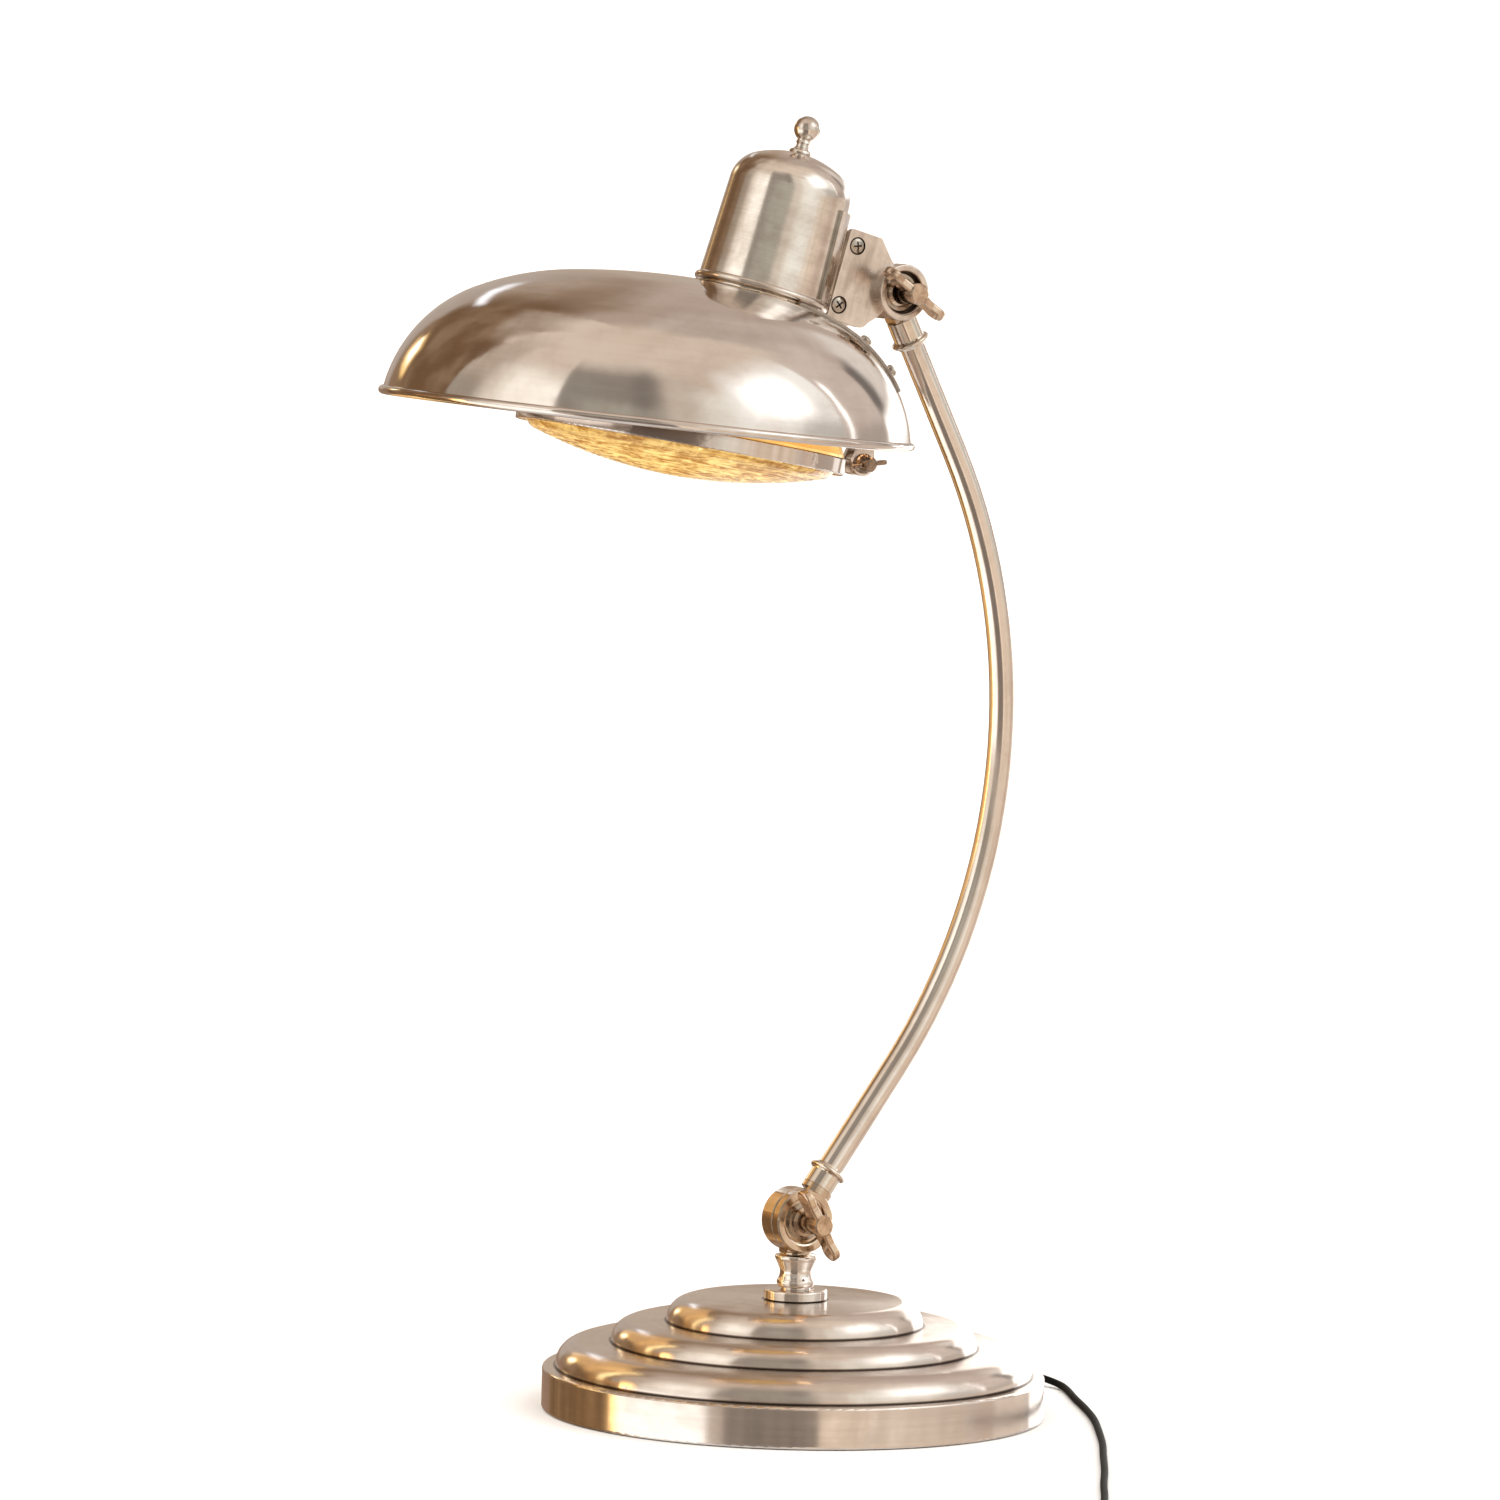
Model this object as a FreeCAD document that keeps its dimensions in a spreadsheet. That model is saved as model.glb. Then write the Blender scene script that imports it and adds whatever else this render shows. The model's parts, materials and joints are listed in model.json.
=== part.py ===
import FreeCAD, Part
import Sketcher
import math
import os
from FreeCAD import Vector, Placement, Rotation

# Tabletop searchlight lamp. Millimetres, +Z up. The origin is the centre of the
# base's underside, the shade points to -Y, every pivot axis runs along X and the
# wing nuts are on the +X side.

os.makedirs("parts", exist_ok=True)
doc = FreeCAD.newDocument("searchlight_lamp")

# ---------------------------------------------------------------- dimensions
CELLS = [
    # stepped base
    ("base_r", 125.5, "outside radius of the rim"),
    ("base_z", 0.6, "rim's lower edge above the table"),
    ("rim_top", 21.2, "top of the straight rim"),
    ("skin", 1.2, "sheet thickness of the spun base"),
    ("tier_a_r", 119.0, "foot radius of the lowest step"),
    ("tier_a_top", 33.9, "top of the lowest step's roll"),
    ("tier_b_r", 91.6, "foot radius of the middle step"),
    ("tier_b_z", 34.3, "foot height of the middle step"),
    ("tier_b_top", 44.8, "top of the middle step's roll"),
    ("tier_c_r", 64.2, "foot radius of the upper step"),
    ("tier_c_z", 45.1, "foot height of the upper step"),
    ("tier_c_top", 56.9, "top of the upper step's roll"),
    ("roll_a", 11.9, "roll radius, lowest step"),
    ("roll_b", 10.2, "roll radius, middle step"),
    ("roll_c", 11.4, "roll radius, upper step"),
    ("crown_z", 57.0, "height of the base's top"),
    ("rod_r", 5.0, "hollow threaded rod"),
    ("rod_bore", 3.2, "bore for the lead"),
    ("rod_fit", 5.2, "holes the rod passes through"),
    ("weight_r", 88.0, "iron weight"),
    ("weight_top", 16.0, "top of the iron weight"),
    ("weight_low", 3.5, "underside of the iron weight"),
    ("felt_r", 122.0, "felt pad"),
    ("felt_t", 2.0, "felt thickness"),
    ("plate_t", 1.2, "closing plate"),
    # pivots
    ("pivot_z", 97.0, "height of the lower pivot"),
    ("knuckle_r", 16.0, "radius of the lower pivot's discs"),
    ("boss_r", 14.0, "radius of the upper pivot's bosses"),
    ("eye_r", 12.5, "radius of the arm's upper eye"),
    ("bolt_r", 3.0, "pivot bolts"),
    ("bolt_fit", 3.05, "bores that turn on the bolts"),
    ("nut_len", 19.0, "wing nut, face to face"),
    ("wing_tip", 20.5, "wing nut, tip radius"),
    # arm
    ("tube_r", 6.35, "arm tube, outside"),
    ("tube_wall", 1.0, "arm tube wall"),
    ("lean_low", 36.0, "lean of the arm's lower end, degrees from upright"),
    ("lean_top", 26.5, "lean of the arm's upper end, degrees from upright"),
    ("run_low", 92.5, "straight from the lower pivot to the bend"),
    ("bend_r", 297.4, "radius of the arm's bow"),
    ("run_top", 90.3, "straight from the bend to the upper pivot"),
    ("ferrule_r", 7.7, "ferrules"),
    ("ferrule_bead", 9.2, "bead on the ferrules"),
    # lamp head
    ("cap_y", -34.2, "centre of the socket cap's bead, Y"),
    ("cap_z", 560.0, "centre of the socket cap's bead, Z"),
    ("cap_tilt", 16.5, "lean of the socket cap, degrees"),
    ("cap_low_r", 32.2, "cap radius at its bead"),
    ("cap_top_r", 30.5, "cap radius below its shoulder"),
    ("cap_h", 71.0, "cap height"),
    ("cap_shoulder", 17.0, "cap shoulder radius"),
    ("cap_crown", 48.0, "cap crown radius"),
    ("bead_r", 1.9, "cap bead, section radius"),
    ("neck_r", 30.2, "neck ring"),
    ("shade_y", -97.3, "centre of the shade's rim, Y"),
    ("shade_z", 498.0, "centre of the shade's rim, Z"),
    ("shade_tilt", 5.7, "lean of the shade, degrees"),
    ("shade_h", 71.5, "height of the shade's crown over its rim"),
    ("shade_crown", 367.8, "radius of the shade's crown"),
    ("shade_shoulder", 141.4, "radius of the shade's shoulder"),
    ("shade_skirt", 72.4, "radius of the shade's skirt"),
    ("shade_wall", 1.0, "shade sheet"),
    ("rim_r", 130.3, "rim bead, centre radius"),
    ("rim_bead", 2.3, "rim bead, section radius"),
    ("lens_y", -77.4, "centre of the lens ring, Y"),
    ("lens_z", 488.7, "centre of the lens ring, Z"),
    ("lens_tilt", 10.0, "lean of the lens ring, degrees"),
    ("ring_r", 82.3, "lens ring, outside radius"),
    ("ring_h", 6.4, "lens ring, height"),
    ("glass_drop", 16.2, "bulge of the lens"),
    ("hinge_y", 23.4, "lens hinge, Y"),
    ("hinge_z", 474.8, "lens hinge, Z"),
    # cord
    ("cord_r", 1.8, "mains lead radius"),
    ("cord_z", 1.8, "height of the lead's centre on the table"),
    ("coil_in", 14.4, "coil, inside radius"),
    ("coil_out", 29.3, "coil, outside radius"),
    ("coil_h", 7.2, "coil, height"),
    ("coil_x", 348.9, "coil centre, X"),
    ("coil_y", -195.7, "coil centre, Y"),
]
sheet = doc.addObject("Spreadsheet::Sheet", "Dims")
for row, (alias, value, note) in enumerate(CELLS, 1):
    sheet.set(f"A{row}", note)
    sheet.set(f"B{row}", str(value))
    sheet.setAlias(f"B{row}", alias)
doc.recompute()


class Size:
    """A length together with the spreadsheet expression that gives it."""

    def __init__(self, text, value):
        self.text, self.value = text, float(value)

    def _join(self, other, sign, flip=False):
        o = other if isinstance(other, Size) else Size(repr(float(other)), other)
        a, b = (o, self) if flip else (self, o)
        value = {"+": a.value + b.value, "-": a.value - b.value, "*": a.value * b.value}[sign]
        return Size(f"({a.text} {sign} {b.text})", value)

    def __add__(self, o):
        return self._join(o, "+")

    def __radd__(self, o):
        return self._join(o, "+", True)

    def __sub__(self, o):
        return self._join(o, "-")

    def __rsub__(self, o):
        return self._join(o, "-", True)

    def __mul__(self, o):
        return self._join(o, "*")

    def __rmul__(self, o):
        return self._join(o, "*", True)

    def __neg__(self):
        return self * -1.0


class Dims:
    def __getattr__(self, alias):
        return Size("Dims." + alias, float(sheet.get(alias)))


d = Dims()


def num(s):
    return s.value if isinstance(s, Size) else float(s)


def bind(obj, prop, size):
    if isinstance(size, Size):
        obj.setExpression(prop, size.text)
    else:
        target = obj
        setattr(target, prop, float(size))


def rx(deg):
    return Rotation(Vector(1, 0, 0), deg)


def rz(deg):
    return Rotation(Vector(0, 0, 1), deg)


ALONG_X = Rotation(Vector(0, 1, 0), 90)  # local Z becomes +X, local X becomes -Z


# ------------------------------------------------------------------ sketches
def bind_at(sk, geo, pos, x, y, tag):
    for axis, size, line in (("DistanceX", x, -2), ("DistanceY", y, -1)):
        if abs(num(size)) < 1e-9:
            sk.addConstraint(Sketcher.Constraint("PointOnObject", geo, pos, line))
            continue
        i = sk.addConstraint(Sketcher.Constraint(axis, -1, 1, geo, pos, num(size)))
        if isinstance(size, Size):
            name = f"{axis[-1].lower()}_{tag}"
            sk.renameConstraint(i, name)
            sk.setExpression("Constraints." + name, size.text)


def closed(sk, verts):
    """A closed outline. Each vertex is (x, y) or (x, y, radius, side): the edge that
    starts there is an arc of that radius, whose centre lies to its left (side 1) or
    right (side -1)."""
    first = sk.GeometryCount
    n, ends = len(verts), []
    for k, v in enumerate(verts):
        w = verts[(k + 1) % n]
        p, q = Vector(num(v[0]), num(v[1]), 0), Vector(num(w[0]), num(w[1]), 0)
        if len(v) == 2:
            g = sk.addGeometry(Part.LineSegment(p, q), False)
            ends.append((g, 1, 2))
            continue
        radius, side = num(v[2]), v[3]
        half = (q - p).Length / 2
        left = Vector(-(q - p).y, (q - p).x, 0).normalize()
        c = (p + q) / 2 + left * (side * math.sqrt(max(radius * radius - half * half, 0)))
        a, b = (p, q) if side > 0 else (q, p)
        a0 = math.atan2((a - c).y, (a - c).x)
        a1 = math.atan2((b - c).y, (b - c).x)
        if a1 <= a0:
            a1 += 2 * math.pi
        g = sk.addGeometry(Part.ArcOfCircle(Part.Circle(c, Vector(0, 0, 1), radius), a0, a1), False)
        ends.append((g, 1, 2) if side > 0 else (g, 2, 1))
    for k in range(n):
        g, start, _ = ends[k]
        h, _, end = ends[k - 1]
        sk.addConstraint(Sketcher.Constraint("Coincident", g, start, h, end))
        bind_at(sk, g, start, verts[k][0], verts[k][1], f"{first}_{k}")
        if len(verts[k]) > 2:
            i = sk.addConstraint(Sketcher.Constraint("Radius", g, num(verts[k][2])))
            if isinstance(verts[k][2], Size):
                sk.renameConstraint(i, f"r_{first}_{k}")
                sk.setExpression(f"Constraints.r_{first}_{k}", verts[k][2].text)


def circles(sk, items):
    for k, (x, y, r) in enumerate(items):
        g = sk.addGeometry(Part.Circle(Vector(num(x), num(y), 0), Vector(0, 0, 1), num(r)), False)
        bind_at(sk, g, 3, x, y, f"c{g}")
        i = sk.addConstraint(Sketcher.Constraint("Radius", g, num(r)))
        if isinstance(r, Size):
            sk.renameConstraint(i, f"rad_{g}")
            sk.setExpression(f"Constraints.rad_{g}", r.text)


NODES = {}


def node(label, obj):
    obj.Label = label
    NODES[label] = obj
    return obj


class Solid:
    """A PartDesign body built up from features on its own origin planes."""

    def __init__(self, label, place=None, keep=True):
        self.body = doc.addObject("PartDesign::Body", label + "_body")
        self.body.Label = label if keep else label + "_blank"
        self.place = place or Placement()
        self.count = 0
        if keep:
            NODES[label] = self.body

    def sketch(self, plane, off, outlines, rounds):
        self.count += 1
        sk = self.body.newObject("Sketcher::SketchObject", f"{self.body.Name}_sk{self.count}")
        origin = [o for o in self.body.Origin.OriginFeatures if o.Role == plane][0]
        sk.AttachmentSupport = [(origin, "")]
        sk.MapMode = "FlatFace"
        if isinstance(off, Size):
            sk.setExpression("AttachmentOffset.Base.z", off.text)
            sk.AttachmentOffset = Placement(Vector(0, 0, off.value), Rotation())
        elif off:
            sk.AttachmentOffset = Placement(Vector(0, 0, off), Rotation())
        for verts in outlines:
            closed(sk, verts)
        if rounds:
            circles(sk, rounds)
        doc.recompute()
        return sk

    def turn(self, verts, plane="XZ_Plane", angle=360.0, kind="Revolution"):
        sk = self.sketch(plane, 0, [verts], [])
        f = self.body.newObject("PartDesign::" + kind, f"{self.body.Name}_{kind}{self.count}")
        f.Profile = sk
        f.ReferenceAxis = (sk, ["V_Axis"])
        f.Angle = angle
        if angle < 360:
            f.Midplane = True
        doc.recompute()
        return self

    def pad(self, length, outlines=(), rounds=(), plane="XY_Plane", off=0, mid=False, back=False):
        sk = self.sketch(plane, off, outlines, rounds)
        f = self.body.newObject("PartDesign::Pad", f"{self.body.Name}_pad{self.count}")
        f.Profile = sk
        bind(f, "Length", length)
        if mid:
            f.SideType = "Symmetric"
        f.Reversed = back
        doc.recompute()
        return self

    def pocket(self, length, outlines=(), rounds=(), plane="XY_Plane", off=0, back=False, through=False):
        before = self.body.Shape.Volume
        sk = self.sketch(plane, off, outlines, rounds)
        f = self.body.newObject("PartDesign::Pocket", f"{self.body.Name}_pocket{self.count}")
        f.Profile = sk
        if through:
            f.Type = "ThroughAll"
            f.SideType = "Symmetric"
        else:
            bind(f, "Length", length)
        f.Reversed = back
        doc.recompute()
        if not self.body.Shape.Volume < before - 1e-3:
            raise RuntimeError(f"{self.body.Label}: a pocket removed nothing")
        self.last = f
        return self

    def polar(self, number):
        f = self.body.newObject("PartDesign::PolarPattern", f"{self.body.Name}_polar{self.count}")
        f.Originals = [self.last]
        f.Axis = (self.last.Profile[0], ["N_Axis"])
        f.Angle = 360
        f.Occurrences = number
        self.body.Tip = f
        doc.recompute()
        return self

    def soften(self, radius, pick):
        edges = [f"Edge{i + 1}" for i, e in enumerate(self.body.Shape.Edges) if pick(e)]
        if not edges:
            raise RuntimeError(f"{self.body.Label}: no edge to round")
        tip = self.body.Tip
        f = self.body.newObject("PartDesign::Fillet", f"{self.body.Name}_fillet{self.count}")
        f.Base = (tip, edges)
        bind(f, "Radius", radius)
        doc.recompute()
        return self

    def done(self):
        self.body.Placement = self.place
        doc.recompute()
        return self.body


def cylinder(label, radius, height, place=None, keep=True):
    o = doc.addObject("Part::Cylinder", label + "_cyl")
    bind(o, "Radius", radius)
    bind(o, "Height", height)
    o.Placement = place or Placement()
    o.Label = label if keep else label + "_blank"
    if keep:
        NODES[label] = o
    return o


def block(label, sizes, place):
    o = doc.addObject("Part::Box", label + "_box")
    for prop, s in zip(("Length", "Width", "Height"), sizes):
        bind(o, prop, s)
    o.Placement = place
    o.Label = label + "_blank"
    return o


def cut(label, base, tools):
    tool = tools[0]
    if len(tools) > 1:
        tool = doc.addObject("Part::MultiFuse", label + "_tools")
        tool.Shapes = tools
        tool.Label = label + "_tools"
    o = doc.addObject("Part::Cut", label + "_cut")
    o.Base, o.Tool = base, tool
    doc.recompute()
    if not o.Shape.Volume < base.Shape.Volume - 1e-3:
        raise RuntimeError(label + ": the cut removed nothing")
    return node(label, o)


def fuse(label, items, keep=True):
    o = doc.addObject("Part::MultiFuse", label + "_fuse")
    o.Shapes = items
    doc.recompute()
    if keep:
        return node(label, o)
    o.Label = label + "_blank"
    return o


def shape_node(label, shape, place=None):
    o = doc.addObject("Part::Feature", label + "_shape")
    o.Shape = shape
    if place:
        o.Placement = place
    return node(label, o)


# ===================================================================== base
# Spun shell: straight rim and three rolled steps, one sheet thick.
outer = [
    (d.base_r, d.base_z + 1.2),
    (d.base_r, d.rim_top - 1.4, 1.4, 1),
    (d.base_r - 1.4, d.rim_top),
    (d.tier_a_r, d.rim_top, d.roll_a, 1),
    (d.tier_a_r - 10.8, d.tier_a_top),
    (d.tier_b_r, d.tier_b_z, d.roll_b, 1),
    (d.tier_b_r - 9.6, d.tier_b_top),
    (d.tier_c_r, d.tier_c_z, d.roll_c, 1),
    (d.tier_c_r - 10.8, d.tier_c_top),
    (d.rod_fit, d.crown_z),
]
inner = [
    (d.rod_fit, d.crown_z - d.skin),
    (d.tier_c_r - d.skin - 10.8, d.tier_c_top - d.skin, d.roll_c, -1),
    (d.tier_c_r - d.skin, d.tier_c_z - d.skin),
    (d.tier_b_r - d.skin - 9.6, d.tier_b_top - d.skin, d.roll_b, -1),
    (d.tier_b_r - d.skin, d.tier_b_z - d.skin),
    (d.tier_a_r - d.skin - 10.8, d.tier_a_top - d.skin, d.roll_a, -1),
    (d.tier_a_r - d.skin, d.rim_top - d.skin),
    (d.base_r - d.skin, d.rim_top - d.skin),
    (d.base_r - d.skin, d.base_z),
    (d.base_r - 0.5, d.base_z, 1.4, 1),
]
shell = Solid("base_shell", keep=False).turn(outer + inner).done()

# The lead leaves through the back of the rim.
EXIT = 104.0  # bearing of the cord exit, degrees from +X
exit_dir = Vector(math.cos(math.radians(EXIT)), math.sin(math.radians(EXIT)), 0)
RADIAL = rz(EXIT).multiply(ALONG_X)  # local Z points out through the exit
EXIT_Z = 9.0
hole = cylinder("exit_hole", 4.35, 8, Placement(exit_dir * 121.0 + Vector(0, 0, EXIT_Z), RADIAL), keep=False)
cut("base_shell", shell, [hole])

weight = Solid("base_weight")
weight.turn([
    (d.rod_fit + 0.2, 11.6),
    (14.0, 11.6),
    (14.0, d.weight_low),
    (d.weight_r, d.weight_low),
    (d.weight_r, d.weight_top - 3.0),
    (d.weight_r - 3.0, d.weight_top),
    (d.rod_fit + 0.2, d.weight_top),
])
weight.pocket(8.0, rounds=[(80.0, 0, 2.0)], off=d.weight_low, back=True)
weight.polar(3)
weight.done()

plate = Solid("base_plate")
plate.pad(d.plate_t, rounds=[(0, 0, d.felt_r + 0.6), (0, 0, 15.0)], off=d.felt_t + 0.05)
plate.pocket(3, rounds=[(80.0, 0, 2.1)], through=True)
plate.polar(3)
plate.done()

felt = Solid("felt_pad")
felt.pad(d.felt_t, rounds=[(0, 0, d.felt_r)])
felt.done()

screw = Solid("plate_screw", keep=False).turn([
    (0, 3.3), (4.2, 3.3), (4.2, 3.45), (1.95, 3.45), (1.95, 11.0), (0, 11.0),
]).done()
shape_node("plate_screws", Part.makeCompound([
    screw.Shape.transformed(Placement(Vector(80.0 * math.cos(a), 80.0 * math.sin(a), 0), Rotation()).toMatrix())
    for a in (0, 2 * math.pi / 3, 4 * math.pi / 3)
]))

# Hollow threaded rod that clamps plate, weight, shell, collar and stem together.
rod = Solid("stem_rod")
rod.pad(60.6, rounds=[(0, 0, d.rod_r), (0, 0, d.rod_bore)], off=4.4)
rod.done()
nut = Solid("stem_nut")
hexagon = [(9.2 * math.cos(math.radians(60 * k)), 9.2 * math.sin(math.radians(60 * k))) for k in range(6)]
nut.pad(6.0, outlines=[hexagon], off=4.4)
nut.pad(1.5, rounds=[(0, 0, 13.2)], off=10.05)
nut.pocket(30, rounds=[(0, 0, d.rod_r + 0.05)], through=True)
nut.done()

# Strain relief: flanged on both sides of the sheet, tapering outwards.
Solid("cord_grommet", Placement(exit_dir * 0 + Vector(0, 0, EXIT_Z), RADIAL)).turn([
    (0, 120.6), (5.0, 120.6), (5.4, 121.0), (5.4, 123.4), (4.3, 123.9), (4.3, 125.6),
    (6.0, 125.6), (6.2, 126.0), (6.0, 127.2), (4.9, 127.8), (4.6, 129.5), (2.7, 146.0), (0, 146.0),
]).done()

# Turned collar and vase-shaped stem.
Solid("stem_collar").turn([
    (d.rod_r + 0.1, d.crown_z + 0.05), (15.2, d.crown_z + 0.05), (15.85, d.crown_z + 0.7),
    (15.85, 61.2, 1.1, 1), (14.75, 62.3), (9.2, 62.3), (9.0, 62.4), (d.rod_r + 0.1, 62.4),
]).done()
Solid("stem_neck").turn([
    (d.rod_r + 0.05, 62.45), (7.4, 62.45), (7.4, 63.0), (8.7, 63.5, 3.1, 1), (8.95, 67.4, 6.6, -1), (8.3, 72.6),
    (9.9, 76.5), (10.4, 77.4, 1.5, 1), (10.2, 79.4), (8.2, 79.9),
    (6.8, 80.2), (2.6, 80.2), (2.6, 70.0), (d.rod_r + 0.05, 66.0),
]).done()

# ============================================================= lower pivot
PIVOT = Vector(0, 0, num(d.pivot_z))
AT_PIVOT = Placement(PIVOT, ALONG_X)  # local Z is the pivot axis, +X
far = Solid("lower_far", AT_PIVOT, keep=False).turn([
    (d.bolt_r + 0.02, 1.9), (d.bolt_r + 0.02, -7.2), (10.4, -7.2), (11.0, -8.1), (12.2, -8.5),
    (d.knuckle_r - 0.7, -8.5), (d.knuckle_r, -7.8), (d.knuckle_r, 1.4), (d.knuckle_r - 0.5, 1.9),
]).done()
foot = cylinder("lower_far_foot", 6.9, 0.4, Placement(Vector(0, 0, 80.25), Rotation()), keep=False)
web = block("lower_far_web", (8.4, 12.6, 8.0), Placement(Vector(-6.5, -6.3, 80.25), Rotation()))
joined = fuse("lower_far_joined", [far, foot, web], keep=False)
bore = cylinder("lower_far_bore", d.bolt_r + 0.02, 30, Placement(Vector(-15, 0, 97.0), ALONG_X), keep=False)
lead_hole = cylinder("lower_far_lead", 2.4, 9, Placement(Vector(-2.6, 0, 79.0), Rotation()), keep=False)
cut("lower_knuckle", joined, [bore, lead_hole])

Solid("lower_friction_disc", AT_PIVOT).turn([
    (d.bolt_fit, 2.0), (d.knuckle_r - 1.2, 2.0), (d.knuckle_r - 1.2, 2.6), (d.bolt_fit, 2.6),
]).done()

UP_ARM = rx(-num(d.lean_low))  # local Z leans back along the arm's lower end
near = Solid("lower_near", AT_PIVOT, keep=False).turn([
    (d.bolt_fit, 2.7), (d.knuckle_r - 0.5, 2.7), (d.knuckle_r, 3.2), (d.knuckle_r, 7.7),
    (d.knuckle_r - 0.8, 8.5), (12.4, 8.5), (11.6, 8.1), (11.0, 6.5), (d.bolt_fit, 6.5),
]).done()
shank_blank = block("lower_near_shank", (5.7, 13.0, 11.2), Placement(
    PIVOT + UP_ARM.multVec(Vector(2.7, -6.5, 7.6)), UP_ARM))
shank_round = cylinder("lower_near_round", 8.35, 11.2, Placement(PIVOT + UP_ARM.multVec(Vector(0, 0, 7.6)), UP_ARM), keep=False)
shank = doc.addObject("Part::Common", "lower_near_shank_common")
shank.Base, shank.Tool = shank_blank, shank_round
shank.Label = "lower_near_shank_round_blank"
head = cylinder("lower_near_collar", d.ferrule_r, 2.4, Placement(PIVOT + UP_ARM.multVec(Vector(0, 0, 16.4)), UP_ARM), keep=False)
plug = cylinder("lower_near_plug", 6.2, 5.6, Placement(PIVOT + UP_ARM.multVec(Vector(0, 0, 16.4)), UP_ARM), keep=False)
near_joined = fuse("lower_near_joined", [near, shank, head, plug], keep=False)
near_bore = cylinder("lower_near_bore", d.bolt_fit, 12, Placement(Vector(0, 0, 97.0), ALONG_X), keep=False)
near_well = cylinder("lower_near_well", 11.0, 6, Placement(Vector(6.5, 0, 97.0), ALONG_X), keep=False)
near_lead = cylinder("lower_near_lead", 2.4, 8, Placement(PIVOT + UP_ARM.multVec(Vector(0, 0, 16.0)), UP_ARM), keep=False)
cut("lower_arm_knuckle", near_joined, [near_bore, near_well, near_lead])


def pivot_bolt(label, place, head_r, length):
    # Domed head with a screwdriver slot, plain shank.
    b = Solid(label, place)
    b.turn([
        (0, -4.2), (head_r - 4.0, -3.9), (head_r - 1.2, -2.4), (head_r, -0.8), (head_r, 0),
        (d.bolt_r, 0), (d.bolt_r, length - 0.6), (d.bolt_r - 0.6, length), (0, length),
    ])
    b.pocket(1.4, outlines=[[(-9, -0.7), (9, -0.7), (9, 0.7), (-9, 0.7)]], off=-4.3, back=True)
    return b.done()


def wing_nut(label, place, hub_r, flange_r, length, bore, tip, tip_r, thick, foot, middle, closed_end=0.0):
    # Two flat ears in one plane with the axis, a long hub and a flange under it.
    end = [(bore, length)] if closed_end == 0.0 else [(0, length), (0, length - closed_end), (bore, length - closed_end)]
    b = Solid(label, place)
    b.turn([
        (bore, 0), (flange_r, 0), (flange_r, 1.1), (hub_r + 0.7, 2.0), (hub_r, foot),
        (hub_r, length - 0.8), (hub_r - 0.8, length),
    ] + end)
    c, z = tip - tip_r, length * middle
    right = [
        (bore + 0.8, foot), (c - 4.0, z - tip_r + 1.0), (c, z - tip_r, tip_r, 1), (c + tip_r, z, tip_r, 1), (c, z + tip_r),
        (c - 4.5, z + tip_r - 1.1), (bore + 0.8, z + tip_r - 0.2),
    ]
    left = []
    for k in range(len(right) - 1, -1, -1):
        x, y = -right[k][0], right[k][1]
        before = right[k - 1]
        left.append((x, y, before[2], 1) if k > 0 and len(before) > 2 else (x, y))
    b.pad(thick, outlines=[right, left], plane="XZ_Plane", mid=True)
    b.soften(thick * 0.3, lambda e: abs(abs(e.CenterOfMass.y) - thick / 2) < 0.01 and e.BoundBox.YLength < 0.01
             and e.BoundBox.XLength > 1.2)
    return b.done()


pivot_bolt("lower_bolt", Placement(Vector(-7.25, 0, 97.0), ALONG_X), 9.4, 32.6)
Solid("lower_washer", AT_PIVOT).turn([
    (d.bolt_r + 0.08, 6.55), (9.4, 6.55), (9.4, 8.2), (d.bolt_r + 0.08, 8.2),
]).done()
# The ears of the lower wing nut stand at 119 degrees, those of the upper at 143.
wing_nut("lower_wing_nut", Placement(Vector(8.3, 0, 97.0), rx(29).multiply(ALONG_X)),
         5.3, 7.4, num(d.nut_len), num(d.bolt_fit), num(d.wing_tip), 5.4, 4.4, 6.5, 0.69, 1.6)

# ===================================================================== arm
low = math.radians(num(d.lean_low))
top = math.radians(num(d.lean_top))
bend = num(d.bend_r)
p_low = Vector(0, math.sin(low), math.cos(low))
start_bend = PIVOT + p_low * num(d.run_low)
centre = start_bend + Vector(0, -math.cos(low), math.sin(low)) * bend
end_bend = centre + Vector(0, math.cos(top), math.sin(top)) * bend
p_top = Vector(0, -math.sin(top), math.cos(top))
UPPER = end_bend + p_top * num(d.run_top)
mid_bend = centre + Vector(0, math.cos((top - low) / 2), math.sin((top - low) / 2)) * bend
DOWN_ARM = rx(-(180.0 - num(d.lean_top)))  # local Z runs down the arm from the upper pivot


def arm_path(cut_low, cut_top):
    a = PIVOT + p_low * cut_low
    b = UPPER - p_top * cut_top
    return Part.Wire([
        Part.LineSegment(a, start_bend).toShape(),
        Part.Arc(start_bend, mid_bend, end_bend).toShape(),
        Part.LineSegment(end_bend, b).toShape(),
    ])


def pipe(path, radius):
    edge = path.Edges[0]
    p, t = edge.valueAt(edge.FirstParameter), edge.tangentAt(edge.FirstParameter)
    ring = Part.Wire([Part.Circle(p, t, radius).toShape()])
    made = path.makePipeShell([ring], True, False)
    if made.ShapeType != "Solid":
        made = Part.makeSolid(made)
    want = math.pi * radius * radius * path.Length
    if abs(made.Volume - want) > 0.01 * want:
        raise RuntimeError(f"a tube's volume is {made.Volume:.1f} and not {want:.1f}")
    return made


tube = pipe(arm_path(22.2, 21.2), num(d.tube_r)).cut(pipe(arm_path(21.0, 20.0), num(d.tube_r) - num(d.tube_wall)))
shape_node("arm_tube", tube)
shape_node("arm_lead", pipe(arm_path(22.0, 21.0), 2.6))

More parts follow.
